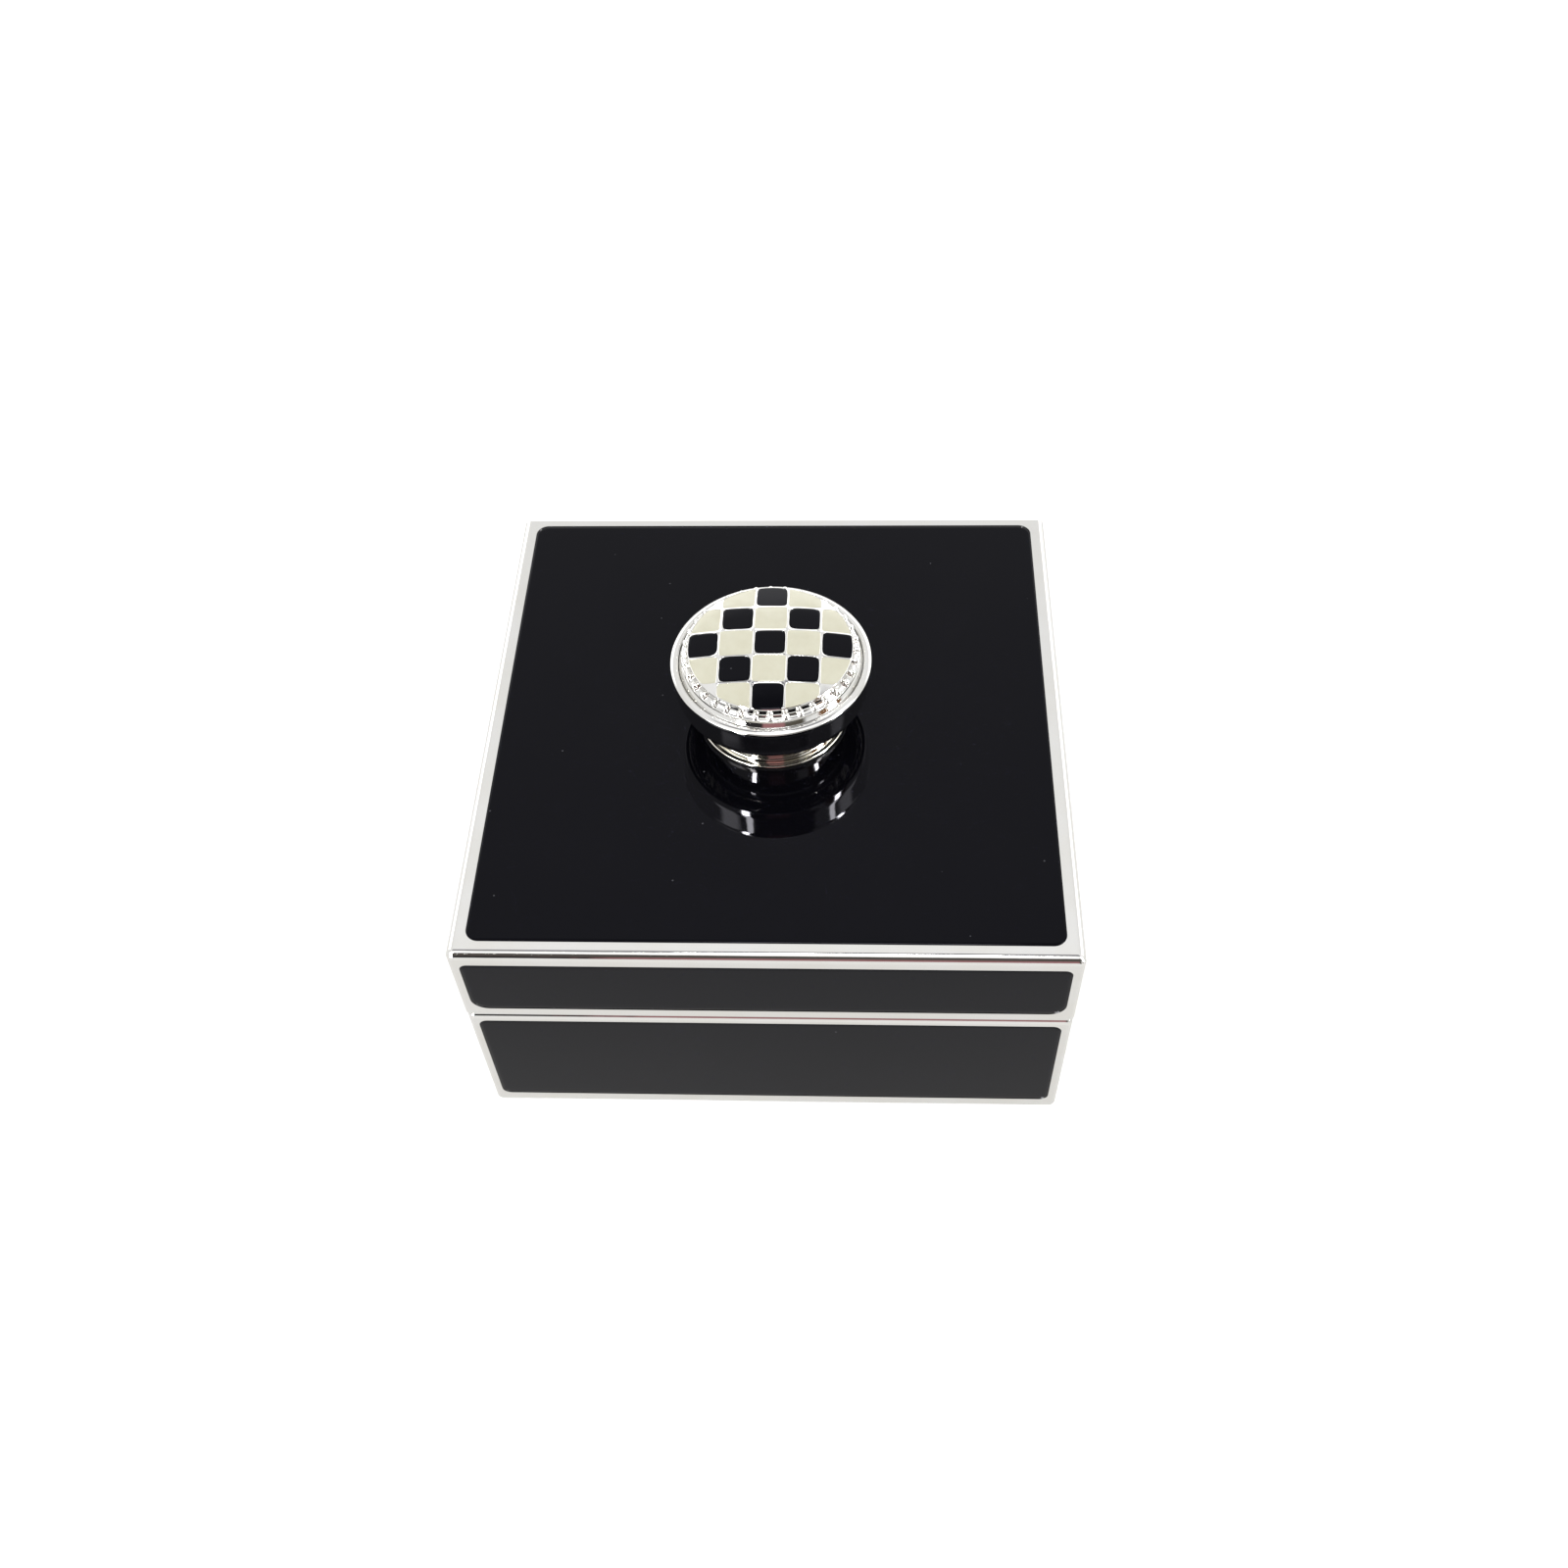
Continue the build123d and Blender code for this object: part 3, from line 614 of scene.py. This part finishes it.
def medallion(outlines):
    """The plated medallion: thin walls between sunk cells on a dome, then a ledge and a plain side.
    The flat layout is triangulated with the cells' outlines as its edges, and raised to the dome."""
    points, edges, depths = [], [], []

    def add_loop(loop, depth):
        start = len(points)
        points.extend(Vector((p[0], p[1])) for p in loop)
        depths.extend([depth] * len(loop))
        edges.extend((start + i, start + (i + 1) % len(loop)) for i in range(len(loop)))
        return start

    rim_count = 144
    for radius, depth in ((DOME_EDGE, 0.16), (DOME_EDGE - 0.08, 0.03), (DOME_EDGE - 0.2, 0.0)):
        turns = [2 * math.pi * k / rim_count for k in range(rim_count)]
        start = add_loop([(radius * math.cos(t), radius * math.sin(t)) for t in turns], depth)
        if radius == DOME_EDGE:
            rim_start = start
    cell_starts = []
    for outline in outlines:
        cell_starts.append(add_loop(outline, CELL_LIP))
        add_loop(shrink(outline, -CELL_WALL_ROUND), 0.0)
    new_points, _, new_faces, old_points, _, _ = delaunay_2d_cdt(points, edges, [], 1, 1e-5)
    verts = []
    for point, sources in zip(new_points, old_points):
        depth = depths[sources[0]] if sources else 0.0
        verts.append((point.x, point.y, dome_height(point.x, point.y) - depth))
    faces = []
    for face in new_faces:
        middle = sum((new_points[i] for i in face), Vector((0.0, 0.0))) / len(face)
        if not any(inside(middle, outline) for outline in outlines):
            faces.append(tuple(face))
    where = {source: index for index, sources in enumerate(old_points) for source in sources}
    for outline, start in zip(outlines, cell_starts):
        count, first = len(outline), len(verts)
        for i in range(count):
            x, y, z = verts[where[start + i]]
            verts.append((x, y, z - CELL_DEPTH))
        for i in range(count):
            j = (i + 1) % count
            faces.append((where[start + i], where[start + j], first + j, first + i))
        faces.append(tuple(first + i for i in range(count)))
    side = rounded_path(
        [
            (DOME_EDGE, BEAD_LEDGE + 1.2, 0),
            (DOME_EDGE + 0.14, BEAD_LEDGE + 0.3, 0.3),
            (13.12, BEAD_LEDGE - 0.02, 0.12),
            (13.9, 12.56, 0.06),
            (13.91, 9.0, 0),
        ],
        4,
    )
    previous = [where[rim_start + k] for k in range(rim_count)]
    for radius, height in side:
        ring = []
        for k in range(rim_count):
            turn = 2 * math.pi * k / rim_count
            ring.append(len(verts))
            verts.append((radius * math.cos(turn), radius * math.sin(turn), top + height))
        for k in range(rim_count):
            j = (k + 1) % rim_count
            faces.append((previous[k], ring[k], ring[j], previous[j]))
        previous = ring
    faces.append(tuple(reversed(previous)))
    return verts, faces


def beads(draw):
    """A circle of cast beads on a narrow band: round, but not quite alike."""
    solids = []
    for index in range(BEAD_COUNT):
        turn = math.radians(BEAD_START + 360.0 * index / BEAD_COUNT + draw.uniform(-0.35, 0.35))
        radius = BEAD_RADIUS * draw.uniform(0.94, 1.03)
        height = top + BEAD_HEIGHT + draw.uniform(-0.04, 0.03)
        profile = [
            (radius * math.sin(math.radians(a)), -radius * math.cos(math.radians(a)))
            for a in (0, 18, 36, 54, 72, 90, 108, 126, 144, 162, 180)
        ]
        verts, faces = lathe(profile, 20)
        centre = Vector((BEAD_CIRCLE_RADIUS * math.cos(turn), BEAD_CIRCLE_RADIUS * math.sin(turn), height))
        solids.append(([centre + Vector(v) for v in verts], faces))
    half, segments = BEAD_BAND_HALF_WIDTH, BEAD_BAND_SEGMENTS
    section = (
        (-half, -0.55),
        (half, -0.55),
        (half, -0.03),
        (half - 0.1, 0.04),
        (-half + 0.1, 0.04),
        (-half, -0.03),
    )
    verts, faces = [], []
    for k in range(segments):
        turn = 2 * math.pi * k / segments
        for offset, rise in section:
            radius = BEAD_CIRCLE_RADIUS + offset
            verts.append((radius * math.cos(turn), radius * math.sin(turn), top + BEAD_LEDGE + rise))
    count = len(section)
    for k in range(segments):
        here, there = k * count, ((k + 1) % segments) * count
        for i in range(count):
            faces.append((here + i, there + i, there + (i + 1) % count, here + (i + 1) % count))
    solids.append((verts, faces))
    return join_solids(solids)


def cup():
    """The knob's cup: a swelling neck, a finger groove under the skirt, a straight wall, a rolled
    lip, and the medallion's recess."""
    return rounded_path(
        [
            (0.0, 2.5, 0),
            (9.1, 2.5, 0.05),
            (9.12, 3.7, 0.4),
            (9.75, 4.9, 0.7),
            (10.5, 7.5, 0.7),
            (11.3, 8.1, 0.5),
            (13.2, 8.1, 0.3),
            (13.5, 7.0, 0.5),
            (14.35, 6.9, 0.4),
            (14.75, 8.0, 0.4),
            (14.99, 11.9, 0.15),
            (15.18, 12.3, 0.08),
            (15.12, 12.66, 0.09),
            (14.6, 12.96, 0.35),
            (14.15, 12.9, 0.12),
            (13.96, 12.6, 0.06),
            (13.94, 9.0, 0.1),
            (0.0, 9.0, 0),
        ]
    )


def foot():
    """The knob's foot: three soft steps up to a neck."""
    return rounded_path(
        [
            (0.0, 0.0, 0),
            (11.55, 0.0, 0.05),
            (11.62, 0.9, 0.28),
            (10.9, 0.98, 0.08),
            (10.82, 1.7, 0.26),
            (10.2, 1.78, 0.08),
            (10.12, 2.5, 0.26),
            (9.2, 2.5, 0),
            (0.0, 2.5, 0),
        ]
    )


def knob():
    """Every piece of the knob, with one seeded draw for its hand-made unevenness."""
    draw = random.Random(7)
    piece("knob_cup_turned", *turned(cup()), "lid", "plated_metal", ["knob_cup"], 50.0)
    foot_mesh = turned(foot())
    # The foot wears the lighter copy of the plate: its extra lightness is painted light
    piece("knob_foot_turned", *foot_mesh, "lid", "plated_metal", ["knob_foot"], 50.0, "warm_plate")
    cells = [(c, r) for c in range(-2, 3) for r in range(-2, 3) if abs(c * r) < 4]
    outlines = [cell_outline(column, row, draw) for column, row in cells]
    dark = [cell_fill(o, -0.01, draw) for o, cell in zip(outlines, cells) if sum(cell) % 2 == 0]
    light = [cell_fill(o, 0.05, draw) for o, cell in zip(outlines, cells) if sum(cell) % 2 == 1]
    piece("knob_checks_black", *join_solids(dark), "lid", "black_enamel", ["knob_enamel_black"], 50.0)
    piece("knob_checks_cream", *join_solids(light), "lid", "cream_enamel", ["knob_enamel_cream"], 50.0)
    piece("knob_medallion_plate", *medallion(outlines), "lid", "plated_metal", ["knob_medallion"], 35.0)
    piece("knob_beads", *beads(draw), "lid", "plated_metal", ["knob_bead_ring"], 40.0)


# ---------------------------------------------------------------- inside the box

def powder_cake():
    """Pressed powder with an embossed rosette inside two rings."""
    low, high = (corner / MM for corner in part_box("pressed_powder"))
    radius, edge = high.x, high.z - POWDER_DOME
    segments, steps = 216, 90
    verts, faces = [(0.0, 0.0, low.z)], []
    rows = [(radius * 0.96, low.z), (radius, low.z + 1.1)]
    for step in range(steps):
        rows.append((radius * (1 - step / steps), None))
    for ring_radius, height in rows:
        for k in range(segments):
            turn = 2 * math.pi * k / segments
            level = height
            if level is None:
                dome = POWDER_DOME * (1 - (ring_radius / radius) ** 2)
                level = edge + dome - emboss(ring_radius, turn)
            verts.append((ring_radius * math.cos(turn), ring_radius * math.sin(turn), level))
    verts.append((0.0, 0.0, high.z - 0.05))
    faces += [(0, 1 + (k + 1) % segments, 1 + k) for k in range(segments)]
    for ring in range(len(rows) - 1):
        faces += bridge(1 + ring * segments, 1 + (ring + 1) * segments, segments)
    last = 1 + (len(rows) - 1) * segments
    faces += [(last + k, last + (k + 1) % segments, len(verts) - 1) for k in range(segments)]
    piece("powder_cake", verts, faces, "base", "powder", ["pressed_powder"], 60.0)


def emboss(radius, turn):
    """Depth of the pressed pattern: two rings, and petals between them."""
    depth = 0.0
    for ring in POWDER_RINGS:
        depth += 0.32 * math.exp(-(((radius - ring) / 0.55) ** 2))
    if radius < 19.0:
        petal = abs(math.cos(6 * turn))
        reach = 17.5 * petal**0.7
        depth += 0.22 * math.exp(-(((radius - reach) / 0.7) ** 2))
    if 21.0 < radius < 29.0:
        depth += 0.10 * (0.5 + 0.5 * math.cos(72 * turn))
    fall = min(1.0, max(0.0, (35.7 - radius) / 0.8))
    return depth + 0.12 * (1 - fall)


def puff_body():
    """The puff: a disc filled by cloth simulation, then given a fine pile."""
    low, high = (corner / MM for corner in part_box("puff"))
    middle = (low.z + high.z) / 2
    half, radius = (high.z - low.z) / 2, high.x
    profile = [(0.0, -0.78)]
    for step in range(1, 17):
        profile.append((0.93 * step / 17, -0.78))
    for a in range(-80, 81, 20):
        profile.append((0.93 + 0.05 * math.cos(math.radians(a)), 0.78 * math.sin(math.radians(a))))
    for step in range(16, 0, -1):
        profile.append((0.93 * step / 17, 0.78))
    profile.append((0.0, 0.78))
    verts, faces = lathe([(radius * r, middle + half * h) for r, h in profile], 96)
    mesh = bpy.data.meshes.new("puff_velour_body")
    mesh.from_pydata([Vector(v) * MM for v in verts], [], faces)
    body = bpy.data.objects.new("puff_velour_body", mesh)
    bpy.context.scene.collection.objects.link(body)
    bpy.context.view_layer.objects.active = body
    remesh = body.modifiers.new("voxels", "REMESH")
    remesh.mode, remesh.voxel_size = "VOXEL", PUFF_VOXEL * MM
    apply_modifiers(body)
    rest = [v.co.copy() for v in body.data.vertices]
    inflate(body)
    cap = PUFF_SWELL_CAP * MM
    for vertex, start in zip(body.data.vertices, rest):
        step = vertex.co - start
        if step.length > cap:
            vertex.co = start + step.normalized() * cap
    centre = Vector((0.0, 0.0, middle * MM))
    for vertex in body.data.vertices:
        away = vertex.co - centre
        flat = Vector((away.x, away.y, 0.0))
        share = min(flat.length / (radius * MM), 1.0)
        dimple = 0.00035 * noise.noise(vertex.co * 90) + 0.00010 * noise.noise(vertex.co * 900)
        away.z += math.copysign(dimple, away.z) * (1 - share**4)
        limit = (half - PUFF_MARGIN / 2) * MM
        away.z = max(-limit, min(limit, away.z))
        reach = (radius - PUFF_MARGIN) * MM
        if flat.length > reach:
            away.x *= reach / flat.length
            away.y *= reach / flat.length
        vertex.co = centre + away
    smooth = body.modifiers.new("smooth", "SUBSURF")
    smooth.levels = smooth.render_levels = 1
    apply_modifiers(body)
    dress(body, "puff", "puff_velour", ["puff"], 180.0)


def apply_modifiers(obj):
    """Bakes an object's modifiers into its mesh."""
    bpy.context.view_layer.update()
    graph = bpy.context.evaluated_depsgraph_get()
    mesh = bpy.data.meshes.new_from_object(obj.evaluated_get(graph))
    obj.modifiers.clear()
    obj.data = mesh


def inflate(obj):
    """Blows a closed skin up a little with Blender's cloth, without gravity."""
    cloth = obj.modifiers.new("cloth", "CLOTH")
    settings = cloth.settings
    settings.quality = 6
    settings.mass = 0.1
    settings.use_pressure = True
    settings.uniform_pressure_force = 4.0
    settings.effector_weights.gravity = 0.0
    settings.tension_stiffness = settings.compression_stiffness = 20.0
    settings.bending_stiffness = 2.0
    cloth.collision_settings.use_collision = False
    scene = bpy.context.scene
    for step in range(1, 21):
        scene.frame_set(step)
    apply_modifiers(obj)
    scene.frame_set(1)


def ribbon():
    """A satin band across the puff, arched for the fingers and stitched down at both ends."""
    low, high = (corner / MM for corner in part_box("puff_ribbon"))
    half_length, half_width = high.x, high.y
    arch = high.z - low.z - RIBBON_THICKNESS
    along, across = 72, 12
    verts, faces = [], []
    for side in (1, 0):
        for i in range(along + 1):
            x = -half_length + 2 * half_length * i / along
            arch_share = min(1.0, abs(x) / RIBBON_ARCH_HALF)
            rise = arch * (0.5 + 0.5 * math.cos(math.pi * arch_share)) * 0.92
            for j in range(across + 1):
                v = 2.0 * j / across - 1.0
                crease = 0.10 * math.sin(9.0 * x / half_length) * (1 - v * v) * (1 - arch_share**3)
                narrow = 1.0 - 0.05 * (1 - arch_share**2)
                edge = 0.12 * v * v
                wave = crease * 0.6 - edge * (1 - arch_share)
                z = low.z + RIBBON_LIFT + rise + wave + side * RIBBON_THICKNESS
                verts.append((x, v * half_width * narrow, max(low.z + 0.02, min(high.z, z))))
    row = across + 1
    layer = (along + 1) * row
    for i in range(along):
        for j in range(across):
            a = i * row + j
            faces.append((a, a + row, a + row + 1, a + 1))
            faces.append((layer + a, layer + a + 1, layer + a + row + 1, layer + a + row))
    for i in range(along):
        a, b = i * row, (i + 1) * row
        faces.append((a, layer + a, layer + b, b))
        a, b = i * row + across, (i + 1) * row + across
        faces.append((b, layer + b, layer + a, a))
    for j in range(across):
        faces.append((j, j + 1, layer + j + 1, layer + j))
        a = along * row + j
        faces.append((a + 1, a, layer + a, layer + a + 1))
    band = piece("puff_band", verts, faces, "puff", "ribbon_satin", ["puff_ribbon"], 50.0)
    stitches(low.z + RIBBON_LIFT + RIBBON_THICKNESS, half_length, half_width)


def stitches(height, half_length, half_width):
    """Small thread stitches in a row across each end of the ribbon."""
    profile = [(0.0, -0.42), (0.09, -0.36), (0.13, -0.2), (0.13, 0.2), (0.09, 0.36), (0.0, 0.42)]
    upright, faces = lathe(profile, 8)
    solids = []
    for end in (-1, 1):
        for row in STITCH_ROWS:
            for k in range(STITCHES_A_ROW):
                y = (k - 4) * 2 * (half_width - STITCH_MARGIN) / STITCHES_A_ROW
                place = Vector((end * (half_length - row), y, height + 0.05))
                solids.append(([place + Vector((a, c, b)) for a, b, c in upright], faces))
    piece("puff_band_stitches", *join_solids(solids), "puff", "ribbon_satin")


def seam_piping():
    """The puff's satin edging: a thin corded seam round its waist."""
    low, high = (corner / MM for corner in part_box("puff"))
    middle, radius = (low.z + high.z) / 2, high.x - 0.5
    segments, sides = 288, 10
    verts, faces = [], []
    for k in range(segments):
        turn = 2 * math.pi * k / segments
        ply = 0.06 * math.sin(PIPING_TWISTS * turn)
        for s in range(sides):
            a = 2 * math.pi * s / sides
            tube = PIPING_RADIUS + ply
            reach = radius + tube * math.cos(a)
            verts.append((reach * math.cos(turn), reach * math.sin(turn), middle + tube * math.sin(a)))
    for k in range(segments):
        here, there = k * sides, ((k + 1) % segments) * sides
        for s in range(sides):
            faces.append((here + s, there + s, there + (s + 1) % sides, here + (s + 1) % sides))
    piece("puff_piping", verts, faces, "puff", "ribbon_satin")


def felt_sheet():
    """The felt pad under the base: a soft-edged sheet with an uneven nap, flat where it rests."""
    low, high = (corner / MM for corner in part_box("base_felt_pad"))
    depth = high.z - low.z
    insets = (0.0, 0.0, 0.12, 0.35, 1.0, 3.0)
    heights = (depth, 0.3, 0.12, 0.03, 0.0, 0.0)
    outlines = [rounded_rectangle(high.x, high.y, PAD_CORNERS, inset, 8, 30) for inset in insets]
    outlines += [[(x * s, y * s) for x, y in outlines[-1]] for s in (0.8, 0.6, 0.4, 0.2)]
    heights = [*heights, 0.0, 0.0, 0.0, 0.0]
    count = len(outlines[0])
    verts = []
    for outline, height in zip(outlines, heights):
        for x, y in outline:
            nap = 0.05 * noise.noise(Vector((x, y, height)) * 0.9) if 0.0 < height < depth else 0.0
            verts.append((x, y, low.z + max(0.0, height + nap)))
    faces = []
    for index in range(len(outlines) - 1):
        faces += [tuple(reversed(q)) for q in bridge(index * count, (index + 1) * count, count)]
    last = (len(outlines) - 1) * count
    verts.append((0.0, 0.0, low.z))
    faces += [(last + (i + 1) % count, last + i, len(verts) - 1) for i in range(count)]
    faces.append(tuple(range(count)))
    sheet = piece("base_felt", verts, faces, "base", "felt", ["base_felt_pad"], 60.0)


def mirror_plate():
    """Mirror glass with a ground bevel round its face."""
    low, high = (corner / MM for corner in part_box("mirror"))
    levels = ((0.0, high.z), (0.0, low.z + 0.35), (0.12, low.z + 0.25), (4.2, low.z))
    outlines = [rounded_rectangle(high.x, high.y, MIRROR_CORNERS, inset, 10, 20) for inset, _ in levels]
    count = len(outlines[0])
    verts = [(x, y, z) for outline, (_, z) in zip(outlines, levels) for x, y in outline]
    faces = []
    for index in range(len(levels) - 1):
        faces += [tuple(reversed(q)) for q in bridge(index * count, (index + 1) * count, count)]
    faces.append(tuple(range(count)))
    faces.append(tuple(reversed(range((len(levels) - 1) * count, len(levels) * count))))
    piece("mirror_glass_plate", verts, faces, "lid", "mirror_glass", ["mirror"], 3.0)


def dress_cad_nodes():
    """Gives every CAD node that stays its detailed material."""
    slots = {part["node"]: part["material_slot"] for part in frame["record"]["subparts"]}
    for name, node in frame["nodes"].items():
        finish = MATERIALS[slots[name]]
        if not node.material_slots:
            node.data.materials.append(finish)
        for material_slot in node.material_slots:
            material_slot.material = finish


# ---------------------------------------------------------------- studio

# What the polished metal mirrors: patches of the room, each with its azimuth from the front (towards
# +X), its elevation, half its width and height, its softness (all in degrees) and its radiance
ROOM = (
    ("window behind", 180, 18, 62, 14, 4, (2.3, 2.3, 2.3)),
    ("dark ceiling behind", 180, 74, 110, 9, 5, (0.34, 0.34, 0.36)),
    ("bright ceiling in front", 0, 76, 95, 14, 4, (1.45, 1.45, 1.45)),
    ("photographer", 4, 38, 43, 21, 4, (0.105, 0.092, 0.085)),
    ("shoulder left", -17, 10, 12, 13, 3, (0.03, 0.028, 0.028)),
    ("shoulder right", 24, 7, 13, 12, 3, (0.10, 0.09, 0.07)),
    ("hand", 3, 9, 12, 12, 1.5, (0.40, 0.19, 0.20)),
    ("wooden chair", 68, 8, 14, 20, 2, (0.25, 0.13, 0.065)),
    ("window left", -31, 42, 4, 11, 1, (45.0, 45.0, 45.0)),
    ("window right", 70, 42, 4, 11, 1, (45.0, 45.0, 45.0)),
    ("door left", -31, 12, 3, 16, 1, (260.0, 260.0, 260.0)),
    ("door right", 70, 12, 3, 16, 1, (260.0, 260.0, 260.0)),
    ("curtain left", -56, 42, 12, 15, 4, (8.0, 8.0, 8.0)),
    ("curtain right", 92, 42, 10, 15, 4, (6.0, 6.0, 6.0)),
    ("ceiling lamp", 180, 84, 60, 1.5, 0.8, (20.0, 20.0, 20.0)),
)
LIGHT_LEVEL = 1.08


def studio():
    """A pale floor in a bright room, with one weak soft light from above."""
    scene = bpy.context.scene
    scene.view_settings.view_transform = "Standard"
    floor_mat, tree, shader = material("floor_paper", (0.9, 0.9, 0.9), 0.8)
    tree.links.new(spread(tree, noise_node(tree, 12, 3), 0.75, 0.85), shader.inputs["Roughness"])
    shader.inputs["Emission Color"].default_value = (1.0, 1.0, 1.0, 1.0)
    shader.inputs["Emission Strength"].default_value = 0.35
    half = 3.0
    mesh = bpy.data.meshes.new("floor")
    corners = [(-half, -half, 0), (half, -half, 0), (half, half, 0), (-half, half, 0)]
    mesh.from_pydata(corners, [], [(0, 1, 2, 3)])
    floor = bpy.data.objects.new("floor", mesh)
    floor.data.materials.append(floor_mat)
    floor.visible_glossy = False
    scene.collection.objects.link(floor)
    scene.world = room()

    lamp_data = bpy.data.lights.new("soft_top_light", "AREA")
    lamp_data.size = 0.6
    lamp_data.energy = 0.6
    lamp = bpy.data.objects.new("soft_top_light", lamp_data)
    lamp.location = (-0.15, 0.1, 0.8)
    lamp.rotation_euler = (-lamp.location).to_track_quat("-Z", "Y").to_euler()
    lamp.visible_glossy = False
    scene.collection.objects.link(lamp)


def math_node(tree, operation, *values):
    """A maths node: each value is a number or an output."""
    node = tree.nodes.new("ShaderNodeMath")
    node.operation = operation
    for socket, value in zip(node.inputs, values):
        if isinstance(value, (int, float)):
            socket.default_value = value
        else:
            tree.links.new(value, socket)
    return node.outputs["Value"]


def fade(tree, distance, reach, softness):
    """1 within reach, 0 outside it, with a soft step between."""
    node = tree.nodes.new("ShaderNodeMapRange")
    node.interpolation_type = "SMOOTHSTEP"
    node.inputs["From Min"].default_value = math.radians(reach + softness)
    node.inputs["From Max"].default_value = math.radians(reach - softness)
    tree.links.new(distance, node.inputs["Value"])
    return node.outputs["Result"]


def room():
    """A world that lights everything evenly, and shows a furnished room only to polished surfaces."""
    world = bpy.data.worlds.new("bright_room")
    world.use_nodes = True
    tree = world.node_tree
    coords = tree.nodes.new("ShaderNodeTexCoord")
    split = tree.nodes.new("ShaderNodeSeparateXYZ")
    tree.links.new(coords.outputs["Generated"], split.inputs["Vector"])
    backwards = math_node(tree, "MULTIPLY", split.outputs["Y"], -1.0)
    azimuth = math_node(tree, "ARCTAN2", split.outputs["X"], backwards)
    elevation = math_node(tree, "ARCSINE", split.outputs["Z"])
    height = spread_range(tree, elevation, -math.pi / 2, math.pi / 2)
    seen = ramp(
        tree,
        height,
        [
            (0.00, (0.60, 0.60, 0.59)),
            (0.17, (0.97, 0.96, 0.94)),
            (0.25, (1.06, 1.05, 1.03)),
            (0.50, (1.04, 1.04, 1.03)),
            (0.74, (1.0, 1.0, 1.0)),
            (0.82, (1.10, 1.10, 1.10)),
            (1.00, (0.9, 0.9, 0.92)),
        ],
    )
    for _, around, up, half_width, half_height, softness, radiance in ROOM:
        turn = math_node(tree, "SUBTRACT", azimuth, math.radians(around))
        turn = math_node(tree, "WRAP", turn, math.pi, -math.pi)
        across = fade(tree, math_node(tree, "ABSOLUTE", turn), half_width, softness)
        rise = math_node(tree, "ABSOLUTE", math_node(tree, "SUBTRACT", elevation, math.radians(up)))
        mask = math_node(tree, "MULTIPLY", across, fade(tree, rise, half_height, softness))
        seen = mix_color(tree, mask, seen, radiance)
    even = (LIGHT_LEVEL, LIGHT_LEVEL, LIGHT_LEVEL)
    ray = tree.nodes.new("ShaderNodeLightPath")
    shown = mix_color(tree, ray.outputs["Is Glossy Ray"], even, seen)
    tree.links.new(shown, tree.nodes["Background"].inputs["Color"])
    return world


def spread_range(tree, value, low, high):
    """Maps low to high to 0 to 1."""
    node = tree.nodes.new("ShaderNodeMapRange")
    node.inputs["From Min"].default_value = low
    node.inputs["From Max"].default_value = high
    tree.links.new(value, node.inputs["Value"])
    return node.outputs["Result"]


# The camera: lens and sensor in millimetres, place in metres and turn in degrees
LENS, SENSOR_WIDTH = 36.92, 36.0
CAMERA_PLACE, CAMERA_TURN = (0.01248, -0.16332, 0.23546), (37.971, 1.777, 1.734)


def camera():
    """A hand-held camera in front of the box, looking down at it."""
    data = bpy.data.cameras.new("camera")
    data.lens, data.sensor_width = LENS, SENSOR_WIDTH
    data.clip_start, data.clip_end = 0.005, 20.0
    cam = bpy.data.objects.new("camera", data)
    cam.location = CAMERA_PLACE
    cam.rotation_euler = [math.radians(angle) for angle in CAMERA_TURN]
    bpy.context.scene.collection.objects.link(cam)
    bpy.context.scene.camera = cam


camera()
dress_cad_nodes()
top_panel()
for shell in ("base", "lid"):
    for side in SIDES:
        side_panel(shell, side)
knob()
powder_cake()
puff_body()
seam_piping()
ribbon()
felt_sheet()
mirror_plate()
studio()
